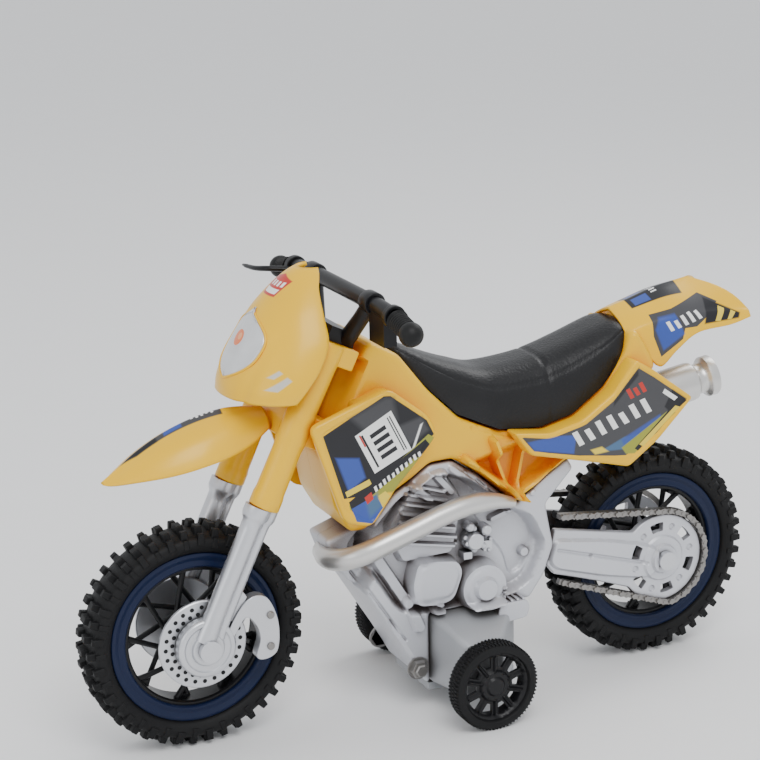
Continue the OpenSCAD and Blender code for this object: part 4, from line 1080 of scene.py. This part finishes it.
# %% Seat
def seat_surface():
    """Closed rings along the bike: an arch over the pad and a flat underside just above the rail."""
    x = np.linspace(-86.0, 16.4, 110)
    crest = through([(-86, 145.8), (-82, 145.9), (-73, 143.2), (-60, 139.0), (-44, 135.0), (-24, 133.6),
                     (-12, 136.8),
                     (0, 141.4), (12, 147.0), (16.6, 148.4)], x)
    rail = np.interp(x, [-87.2, -82, -70, -56, -42, -24, -7, 6, 18],
                     [144.2, 134.6, 122.2, 113.1, 109.8, 111.3, 119.2, 132.2, 147.4])
    half = through([(-86, 12.8), (-82, 15.4), (-73, 17.6), (-60, 18.6), (-44, 18.7), (-24, 18.4),
                    (-12, 17.2), (0, 14.2), (12, 9.6), (16.6, 6)], x)
    ends = 1 - np.abs(np.linspace(-1, 1, len(x))) ** 24 * 0.35
    a = np.linspace(0, np.pi, 61)
    across, up = np.cos(a), np.sin(a)
    y = half[:, None] * ends[:, None] * np.sign(across) * np.abs(across)[None] ** 0.62
    tall = (crest - rail)[:, None] * ends[:, None] * up[None] ** 0.72
    z = rail[:, None] + tall
    seam = np.exp(-((np.abs(across) - 0.78) / 0.022) ** 2)[None] * 0.55
    strap = np.exp(-((x + 47) / 0.8) ** 2)[:, None] * 0.8 * np.ones_like(across)[None]
    z = z - (seam + strap) * up[None]
    y = y * (1 - (seam + strap) * 0.02)
    under = np.stack([x[:, None] + 0 * y[:, 1:-1], y[:, ::-1][:, 1:-1] * 0.98,
                      rail[:, None] + 0.02 * tall[:, 1:-1]], -1)
    over = np.stack([x[:, None] + 0 * y, y, z], -1)
    ring = np.concatenate([over, under], axis=1)
    m = ring.shape[1]
    faces = grid_faces(len(x), m, wrap_cols=True)
    return ring.reshape(-1, 3), faces + end_caps(len(x), m)


piece("saddle", seat_surface(), "chassis", seat_skin, ["seat"], crease_deg=40)

# %% [markdown]
# ## Engine and cradle
# The engine is a silver moulding with its covers, fins and frame rails raised on its sides and
# pockets sunk between them. The pockets look brown and dark because little light gets in.

# %% Engine halves
ENGINE_Y = 18.0
CLUTCH = (-15.5, 48)
engine_edge = rounded([(33, 78.6), (46.8, 73.9), (42.8, 63), (32.4, 50.9), (18.0, 27.3), (9, 11.4),
                       (7.2, 11.4), (7.2, 40.2),
                       (-31, 40.2), (-37.2, 38.3), (-43.9, 47.3), (-48.3, 59.2), (-44.8, 77), (-57.3, 90),
                       (-54.4, 95.1),
                       (-31, 79.2), (-14.5, 94.2), (-3.8, 101.3), (6, 101.1), (14, 95.7), (22, 91.5)],
                       1.6, 4)
pocket = rounded([(30, 60), (38, 70), (20, 88), (4, 98), (-12, 91.5), (-27, 78.5), (-38, 73), (-44, 60),
                  (-37, 46), (-29, 43),
                  (-4, 41.5), (11, 41.5), (20, 44)], 4, 5)
crank_cover = rounded([(15.8, 53), (12.9, 63.6), (-4.6, 61.4), (-7.2, 56.2), (-3.0, 45.0), (3, 43.4),
                       (13.6, 44.4)], 3.5, 6)
cylinder = rounded([(18, 62.5), (24, 78), (10, 97), (0.5, 99), (-9, 84), (-4, 63)], 2.5, 5)
airbox = rounded([(-30, 78), (-38, 70.5), (-42, 61.5), (-36, 50), (-30.5, 48.2), (-28, 58), (-22, 66),
                  (-14, 78)], 3, 5)
engine_features = [
    raised([(31, 84), (52, 77), (44, 61), (35, 53), (31, 60)], -9.0, 4.0),
    raised(pocket, -5.2, 2.6),
    raised(cylinder, 3.6, 1.6),
    raised(airbox, -1.6, 1.4),
    raised(crank_cover, 7.3, 1.2),
    raised(rounded([(13.4, 53), (11.2, 61), (-3.2, 59.2), (-5.0, 55.4), (-1.4, 47.0), (11.6, 46.4)], 3,
                   5), 0.8, 1.4),
    round_boss(*CLUTCH, 10.0, 8.6, 1.2),
    round_boss(*CLUTCH, 7.8, 0.7, 1.4),
    round_boss(*CLUTCH, 4.6, 2.0, 1.0),
    round_boss(3.5, 41.6, 2.7, 4.4, 0.9),
    round_boss(-37.0, 57.0, 2.0, 2.8, 0.6),
    round_boss(-38.5, 83.0, 1.3, 0.7, 0.5),
    round_boss(-8.5, 95.5, 1.2, 0.6, 0.5),
    round_boss(-18.0, 87.5, 1.2, 0.6, 0.5),
    bar_between((30, 69), (16, 46), 2.4, 3.2, 1.2),
    bar_between((16, 46), (12, 36), 2.2, 2.2, 1.2),
    bar_between((36.5, 60), (17.5, 31), 0.5, -0.9, 0.6),
    bar_between((24, 40), (12, 17), 0.7, -0.7, 0.7),
    bar_between((-3, 98.5), (-30, 76), 1.3, 0.9, 0.8),
    bar_between((-24, 82), (-14, 92), 0.5, -0.5, 0.5),
    bar_between((7, 88), (13, 93), 1.6, 2.0, 1.0),
    bar_between((-3, 89), (3, 96), 1.5, 1.8, 1.0),
    bar_between((-23, 73), (-30, 75), 1.2, 2.4, 0.8),
    *[bar_between((-6.5 + 1.1 * k, 66.0 + 3.9 * k), (19.5 - 0.6 * k, 71.5 + 3.9 * k), 0.75, 2.0,
                  0.7) for k in range(7)],
    *[bar_between((-27.5, 44.6 + 1.5 * k), (-23.5, 43.4 + 1.5 * k), 0.35, 1.2, 0.4) for k in range(3)],
]
engine_side = relief(engine_edge, ENGINE_Y, 0.05, edge=1.8, step=0.75, features=engine_features)
piece("engine_moulding_left", engine_side, "chassis", engine_silver, ["engine_left"],
      crease_deg=42)
button_room = [round_boss(*CLUTCH, 5.4, -6.0, 0.5), raised([(-3.6, 44.8), (13.6, 44.8), (13.6, 61.2),
        (-3.6, 61.2)], -2.2, 0.4)]
engine_other = relief(engine_edge, ENGINE_Y, 0.05, edge=1.8, step=0.75,
                      features=engine_features + button_room)
piece("engine_moulding_right", mirrored(engine_other), "chassis", engine_silver, ["engine_right"],
      crease_deg=42)


def fittings(seed, count, low, high, size):
    """Small rounded fittings at seeded places inside a box, on the side of the engine."""
    rng = np.random.default_rng(seed)
    parts = []
    for _ in range(count):
        x, y, z = rng.uniform(low, high)
        r = rng.uniform(*size)
        parts.append(turned([(0.01, y - 1.6), (r * 0.8, y - 1.6), (r, y - 1.0), (r, y + r * 0.5),
                             (r * 0.6, y + r * 0.9), (0.01, y + r)], x, z, 16))
    return parts


carb = join(
    turned([(0.01, 12.6), (4.2, 12.6), (4.4, 15.5), (3.9, 16.2), (3.9, 18.2), (3.2, 19.4), (0.01, 19.7)],
           -13.0, 67.0, 40),
    turned([(0.01, 15), (2.2, 15), (2.3, 19.8), (1.7, 20.6), (0.01, 20.8)], -17.4, 71.4, 24),
    turned([(0.01, 15), (1.8, 15), (1.9, 19.0), (1.3, 19.8), (0.01, 20.0)], -10.6, 73.4, 24),
    box_between((-20.5, 12.6, 62.0), (-16.6, 18.2, 66.4)), box_between((-12, 12.6, 59.6),
            (-8.2, 17.6, 62.6)),
    *fittings(11, 9, (-20.5, 16.6, 61.5), (-9.0, 18.6, 74.5), (0.7, 1.5)))
piece("carburettor_casting", carb, "chassis", silver, ["carburettor"], bevel=0.35)
header_line = [(42.5, -2, 66), (45, 5, 66.5), (44.5, 12, 67.3), (41, 18.5, 69.3), (35, 22.4, 72),
               (26, 24, 75.5),
         (15, 24.2, 79), (4, 24.2, 82.4), (-7, 24, 84.6), (-18, 23, 84.2), (-28, 21.4, 81.6)]
pipe = smooth_path(header_line, 10)
thick = np.interp(np.linspace(0, 1, len(pipe)), [0, 0.05, 0.2, 0.6, 0.85, 1.0],
                  [4.9, 4.3, 4.35, 4.3, 4.0, 2.2])
piece("header_pipe", tube(pipe, thick, 40), "chassis", pearl, ["exhaust_header"],
      crease_deg=50)

# %% [markdown]
# ## Silencer and rear end
# The silencer is a turned can on a slanting line. The swingarm and its chain are one side relief
# each: the arm has a raised spar and a drilled plate, and the chain is a band with link plates
# copied along it.

# %% Silencer
def turned_along(profile, start, end, sides=56):
    """(distance, radius) pairs turned about the line from start to end."""
    p, q = np.asarray(start, float), np.asarray(end, float)
    w = (q - p) / np.linalg.norm(q - p)
    u = np.cross(w, [0, 0, 1.0])
    u /= np.linalg.norm(u)
    v = np.cross(w, u)
    a = np.linspace(0, 2 * np.pi, sides, endpoint=False)
    rings = [p + w * d + r * (np.cos(a)[:, None] * u + np.sin(a)[:, None] * v) for d, r in profile]
    return np.vstack(rings), grid_faces(len(profile), sides, wrap_rows=True, wrap_cols=True)


can = [(0.0, 7.4), (0.6, 7.9), (30.0, 7.9), (31.6, 7.6), (32.4, 6.6), (33.2, 6.2), (35.6, 6.2), (36.2, 6.6),
       (36.8, 7.8), (37.4, 8.3), (40.4, 8.3), (40.9, 8.0), (40.9, 6.2), (40.3, 5.2), (39.0, 4.9),
       (31.0, 4.9), (30.6, 0.02), (0.0, 0.02)]
piece("silencer", turned_along(can, (-84, 10, 111), (-124, 12.5, 118.2)), "chassis", pearl, ["muffler"],
      crease_deg=35)

# %% Swingarm and chain
SPROCKET_R = 18.7
angle = np.linspace(0, 2 * np.pi, 73)[:-1]
rear_disc = arc(-AXLE_X, WHEEL_R, SPROCKET_R, angle)
front_part = [(-50.2, 64.5), (-46.2, 50.5), (-49.8, 45.6), (-70, 39), (-84.5, 33.6)]
keep_disc = rear_disc[(rear_disc[:, 0] < -86) | (np.abs(rear_disc[:, 1] - WHEEL_R) > 14.5)]
order = np.argsort(-np.arctan2(keep_disc[:, 1] - WHEEL_R, keep_disc[:, 0] + AXLE_X) % (2 * np.pi))
loop = keep_disc[order]
first = int(np.argmax(np.hypot(*(loop - np.roll(loop, 1, axis=0)).T)))
loop = np.roll(loop, -first, axis=0)
if abs(loop[0][1] - 33) > abs(loop[-1][1] - 33):
    loop = loop[::-1]
arm_outline = rounded(np.vstack([np.array(front_part), loop, [(-84.5, 57.5), (-60, 62.5)]]), 0.6, 3)
slots = []
for k in range(6):
    centre = math.radians(k * 60 + 20)
    sweep_in = np.linspace(centre - 0.21, centre + 0.21, 8)
    outer = arc(-AXLE_X, WHEEL_R, 15.4, sweep_in)
    inner = arc(-AXLE_X, WHEEL_R, 11.6, sweep_in[::-1])
    slots.append(rounded(np.vstack([outer, inner]), 0.7, 3))
spar = rounded([(-50.2, 60.3), (-47.2, 51.5), (-50.5, 48), (-72, 41.5), (-92, 36.8), (-97, 40), (-97, 49),
                (-90, 52), (-72, 56.6)], 2.5, 5)
arm_side = relief(arm_outline, 15.4, 2.2 + 10.4, edge=0.8, step=0.9, holes=slots, features=[
    raised(spar, 1.5, 1.2), round_boss(-AXLE_X, WHEEL_R, 9.4, 0.9, 0.8),
    round_boss(-AXLE_X, WHEEL_R, 6.0, 1.4, 0.8),
    bar_between((-51, 56), (-92, 43.5), 0.6, -0.7, 0.7), round_boss(-66, 51.0, 0.9, -0.5, 0.5),
    *[round_boss(-AXLE_X + 13.5 * math.cos(math.radians(k * 60 + 50)),
                 WHEEL_R + 13.5 * math.sin(math.radians(k * 60 + 50)), 1.3, -0.7, 0.5)
      for k in range(6)]])
band = []
for centre, radius, a0, a1 in (((-AXLE_X, WHEEL_R), SPROCKET_R + 1.45, 98, 262),
                               ((-42, 57.8), 11.5 + 1.45, 262, 98 + 360)):
    sweep_round = np.radians(np.linspace(a0, a1, 40))
    band.append(arc(*centre, radius, sweep_round))
track = np.vstack(band + [band[0][:1]])
length = np.concatenate([[0], np.cumsum(np.linalg.norm(np.diff(track, axis=0), axis=1))])
PITCH = 3.15
count = int(length[-1] // PITCH)
marks = np.arange(count) * length[-1] / count
link_x, link_z = np.interp(marks, length, track[:, 0]), np.interp(marks, length, track[:, 1])
next_x, next_z = np.roll(link_x, -1), np.roll(link_z, -1)
shown = (link_x < -51.5) & (next_x < -51.5)
plates = []
link_shape = np.array([(0.95, 0.0), (0.66, 0.72), (0, 0.5), (-0.66, 0.72), (-0.95, 0), (-0.66, -0.72),
                       (0, -0.5), (0.66, -0.72)])
for k in np.nonzero(shown)[0]:
    mid = np.array([(link_x[k] + next_x[k]) / 2, (link_z[k] + next_z[k]) / 2])
    way = np.array([next_x[k] - link_x[k], next_z[k] - link_z[k]])
    way /= np.linalg.norm(way)
    square = np.array([-way[1], way[0]])
    outline = mid + link_shape[:, :1] * way * 1.95 + link_shape[:, 1:] * square * 1.75
    y0, y1 = (15.9, 17.1) if k % 2 else (15.4, 16.5)
    plates.append(block(outline, y0, y1))
    plates.append(turned([(0.01, 13.3), (0.8, 13.3), (0.8, 17.3), (0.01, 17.3)], link_x[k], link_z[k], 8))
close_marks = np.arange(0, length[-1], 1.2)
close_track = np.column_stack([np.interp(close_marks, length, track[:, 0]),
                               np.interp(close_marks, length, track[:, 1])])
half_band = close_track[close_track[:, 0] < -51.2]
start = int(np.argmax(np.linalg.norm(half_band - np.roll(half_band, 1, axis=0), axis=1)))
half_band = np.roll(half_band, -start, axis=0)
side_way = np.gradient(half_band, axis=0)
side_way /= np.linalg.norm(side_way, axis=1)[:, None]
side_way = np.column_stack([-side_way[:, 1], side_way[:, 0]])
ring_band = np.stack([
    np.column_stack([(half_band + side_way * s)[:, 0], np.full(len(half_band), y),
                     (half_band + side_way * s)[:, 1]])
    for s, y in ((-1.1, 13.4), (1.1, 13.4), (1.1, 15.7), (-1.1, 15.7))], axis=1)
band_shape = (ring_band.reshape(-1, 3), grid_faces(len(half_band), 4,
                                                   wrap_cols=True) + end_caps(len(half_band), 4))
for side, flip in SIDES:
    piece("swingarm_moulding_" + side, flip(arm_side), "chassis", engine_silver, ["swingarm_" + side],
          crease_deg=42)
    piece("chain_links_" + side, flip(join(band_shape, *plates)), "chassis", dark_steel,
          ["chain_" + side], crease_deg=40)

# %% [markdown]
# ## Drive unit under the engine
# A grey housing spreads to the two small wheels. It is one rounded loft from a long middle to
# two shorter ends. Each small wheel has ten windows.

# %% Drive housing
def drive_housing():
    """Rings across the bike: the box shrinks and slides from the wide middle to each wheel."""
    y = np.array([-37, -36.2, -30, -22, -16.4, -15, 0, 15, 16.4, 22, 30, 36.2, 37.0])
    s = np.clip((np.abs(y) - 16) / 21, 0, 1)
    back = -31 + s * 15.5
    front = 6.6 - s * 5.4
    top = 39.6 - s * 6.9
    base = 10.2
    corner = 2.4
    a = np.radians(np.array([0, 30, 60, 90]))
    rings = []
    for k in range(len(y)):
        q = []
        for cx, cz, turn in ((front[k] - corner, top[k] - corner, 0),
                             (back[k] + corner, top[k] - corner, 90),
                             (back[k] + corner, base + corner, 180),
                             (front[k] - corner, base + corner, 270)):
            shrink = 0.72 if abs(y[k]) > 36.5 else 1.0
            q.append(np.column_stack([cx + corner * shrink * np.cos(a + math.radians(turn)),
                                      np.full(4, y[k]),
                                      cz + corner * shrink * np.sin(a + math.radians(turn))]))
        rings.append(np.vstack(q))
    n = 16
    return np.vstack(rings), grid_faces(len(y), n, wrap_cols=True) + end_caps(len(y), n)


piece("drive_housing", drive_housing(), "chassis", grey, ["gearbox_shell"], crease_deg=34)
peg = [rounded([(-20.8, 41.2), (-32.4, 41.2), (-33.8, 38.4), (-32.6, 34.0), (-22, 32.8), (-19.6, 36.5)],
               1.4, 4)]
pegs = [block(peg[0], 17.0, 24.6)]
treads = [bar for bar in (box_between((-32 + 2.6 * k, 17.6, 40.6),
                                      (-30.8 + 2.6 * k, 24.0, 42.0)) for k in range(5))]
bolt = join(turned([(0.01, 17.6), (4.0, 17.6), (4.0, 19.8), (3.5, 20.5), (2.7, 20.6), (2.7, 21.6),
                    (2.2, 22.1), (0.01, 22.1)], 12.6, 18.4, 6),
            turned([(0.01, 17.6), (4.6, 17.6), (4.6, 18.5), (0.01, 18.5)], 12.6, 18.4, 36))
for side, flip in SIDES:
    piece("foot_rest_" + side, flip(join(*pegs, *treads)), "chassis", engine_silver,
          bevel=0.4)
    piece("cradle_bolt_head_" + side, flip(bolt), "chassis", dark_steel,
          ["cradle_bolt"] if side == "left" else (),
          bevel=0.2)

# %% Small wheels
DRIVE_X, DRIVE_R = -6.9, 17.7
disc_angles = np.linspace(0, 2 * np.pi, 97)[:-1]
rim_circle = arc(DRIVE_X, DRIVE_R, 13.9, disc_angles)
windows = []
for k in range(10):
    mid = k * math.pi / 5
    wide = np.linspace(mid - 0.20, mid + 0.20, 6)
    thin = np.linspace(mid + 0.13, mid - 0.13, 5)
    windows.append(rounded(np.vstack([
        arc(DRIVE_X, DRIVE_R, 12.0, wide),
        arc(DRIVE_X, DRIVE_R, 7.6, thin)]), 0.4, 3))
hub_face = relief(rim_circle, 45.6, 44.2, edge=0.4, step=0.75, holes=windows, features=[
    round_boss(DRIVE_X, DRIVE_R, 6.2, 1.0, 0.8), round_boss(DRIVE_X, DRIVE_R, 3.6, 0.9, 0.8),
    lambda p: 1.6 * ramp(np.hypot(p[:, 0] - DRIVE_X, p[:, 1] - DRIVE_R) - 12.0, 1.2),
    *[bar_between((DRIVE_X + 6 * math.cos(t), DRIVE_R + 6 * math.sin(t)),
                  (DRIVE_X + 11.6 * math.cos(t), DRIVE_R + 11.6 * math.sin(t)),
                  0.45, 0.9, 0.6) for t in (np.arange(10) + 0.5) * math.pi / 5]])
tread_profile = [(13.7, 39.7), (15.6, 39.6), (16.9, 40.2), (17.25, 41.2), (17.25, 46.8), (16.9, 47.9),
                 (15.8, 48.4), (14.2, 48.4), (13.7, 47.8)]
small_tyre = turned(tread_profile, DRIVE_X, DRIVE_R, 120)
fine_tread = join(*[around(tapered(0.30, y, y + 2.4, 17.0, 17.66, 0.85),
                           (np.arange(72) + shift) * math.pi / 36, DRIVE_X, DRIVE_R)
                    for y, shift in ((40.6, 0), (43.2, 0.5), (45.4, 0))])
hub_ring = turned([(12.9, 40.0), (13.9, 40.0), (13.9, 44.6), (12.9, 44.6)], DRIVE_X, DRIVE_R, 96)
hub_sleeve = turned([(1.6, 38.6), (4.6, 38.6), (5.2, 44.4), (1.6, 44.4)], DRIVE_X, DRIVE_R, 40)
one_wheel = join(hub_face, hub_ring, hub_sleeve)
wheels_pair = join(one_wheel, mirrored(one_wheel))
piece("small_wheel_hubs", wheels_pair, "drive_axle_set", black, ["drive_hubs"],
      crease_deg=40)
piece("small_wheel_tyres", join(small_tyre, mirrored(small_tyre), fine_tread, mirrored(fine_tread)),
      "drive_axle_set",
      tyre_rubber, ["drive_tyres"], crease_deg=40)

# %% [markdown]
# ## Handlebar
# A bar that is thicker between the grips, a clamp on two legs, two small control boxes, a grip
# with a ball end on each side and a thin lever on the right.

# %% Handlebar
bar_line = smooth_path([(33, -62, 167), (33, -47, 169.6), (33, -31, 170.8), (33, 0, 171), (33, 31, 170.8),
                        (33, 47, 169.6), (33, 62, 167)], 10)
bar_thick = 2.55 + 0.55 * ramp(47.5 - np.abs(bar_line[:, 1]), 2.5)
legs = [tube([(38.5, s * 12.5, 151), (38, s * 13.5, 154), (35, s * 21.0, 163.5), (33, s * 26.5, 170.6)],
             [3.6, 3.4, 3.1, 3.2], 20) for s in (-1, 1)]
clamps = [turned([(3.0, -3.4), (4.1, -3.4), (4.3, -2.9), (4.3, 2.9), (4.1, 3.4), (3.0, 3.4)], 33, 170.9,
                 32)]
clamp_rings = [(c[0] + [0, s * 27, 0], c[1]) for s in (-1, 1) for c in clamps]
collars = [(np.asarray(c[0]) * [1, 0.45, 1] + [0, s * 46.2, -1.1], c[1]) for s in (-1, 1) for c in clamps]
boxes = [box_between((30.2, s * 36 - 6.6, 157.4), (35.4, s * 36 + 6.6, 169.2)) for s in (-1, 1)]
base = leaning(block([(-11, 124.05), (0.8, 124.05), (0.4, 129.6), (-10.4, 129.6)], -15.6, 15.6))
piece("bar_and_clamp", join(tube(bar_line, bar_thick, 24), *legs, *clamp_rings, *collars, *boxes, base),
      "fork", black,
      ["handlebar"], bevel=0.5)
grip_line = np.linspace([33.0, 49.4, 168.95], [33.3, 60.2, 166.95], 40)
grip_thick = 3.7 + 0.22 * np.sign(np.sin(np.arange(40) * 1.25))
grip_thick[[0, -1]] = 4.3
t_end = np.linspace(0, math.pi, 18)
ball = [(33.3 + 0 * t, 61.2 + 4.6 * -math.cos(t), 166.6) for t in t_end]
grip_shape = join(tube(grip_line, grip_thick, 28), tube(ball, 4.55 * np.sin(t_end) + 0.02, 28))
lever_shape = tube(smooth_path([(35.4, 43.5, 169.3), (39.5, 45.0, 169.7), (44.6, 47.0, 170.0),
                                (47.2, 52, 169.4), (48.0, 58, 168.9), (48.2, 64.3, 168.5)], 8),
                   np.interp(np.linspace(0, 1, 41), [0, 0.25, 0.5, 0.9, 1], [1.6, 1.4, 1.35, 1.0, 0.55]),
                   14, flat=0.8)
for side, flip in SIDES:
    piece("grip_sleeve_" + side, flip(grip_shape), "fork", grip_rubber, ["grip_" + side],
          crease_deg=35)
piece("lever_blade", mirrored(lever_shape), "fork", black, ["hand_lever"])

# %% [markdown]
# ## CAD parts that stay, floor and light
# Pins, axles, gears, cells, the button and the screws already have their true shape, so they only
# get their finish. A pale floor and a white surround give the soft light of a studio table; a
# large lamp above on the left gives the long highlights and a small one fills the shadow side.

# %% Finishes on the CAD parts
for row in frame["record"]["subparts"]:
    thing = frame["nodes"][row["node"]]
    thing.data.materials.clear()
    thing.data.materials.append(SLOT_FINISH[row["material_slot"]])


# %% Floor, surround and lamps
def lamp_at(name, place, target, power, size):
    """A square soft lamp that looks at the target."""
    data = bpy.data.lights.new(name, "AREA")
    data.energy, data.size = power, size
    lamp = bpy.data.objects.new(name, data)
    lamp.location = place
    lamp.rotation_euler = (Vector(target) - Vector(place)).to_track_quat("-Z", "Y").to_euler()
    bpy.context.scene.collection.objects.link(lamp)


floor_points = np.array([(-3, -3, 0), (3, -3, 0), (3, 3, 0), (-3, 3, 0)], float)
floor_mesh = bpy.data.meshes.new("floor")
floor_mesh.from_pydata(floor_points.tolist(), [], [(0, 1, 2, 3)])
floor = bpy.data.objects.new("floor", floor_mesh)
bpy.context.scene.collection.objects.link(floor)
floor_mesh.materials.append(finish("pale floor", (0.86, 0.86, 0.86, 1), 0.75, spread=0.01, grain=0.02))
lamp_at("key", (0.15, 0.75, 1.05), (0, 0, 0.08), 7.5, 0.6)
lamp_at("rim", (-0.7, -0.3, 0.8), (0, 0, 0.09), 3.0, 0.5)
lamp_at("front", (0.9, 0.35, 0.45), (0, 0, 0.08), 0.8, 0.4)
world = bpy.data.worlds.new("white surround")
bpy.context.scene.world = world
world.use_nodes = True
world.node_tree.nodes["Background"].inputs["Color"].default_value = (0.95, 0.97, 1.0, 1)
world.node_tree.nodes["Background"].inputs["Strength"].default_value = 1.05
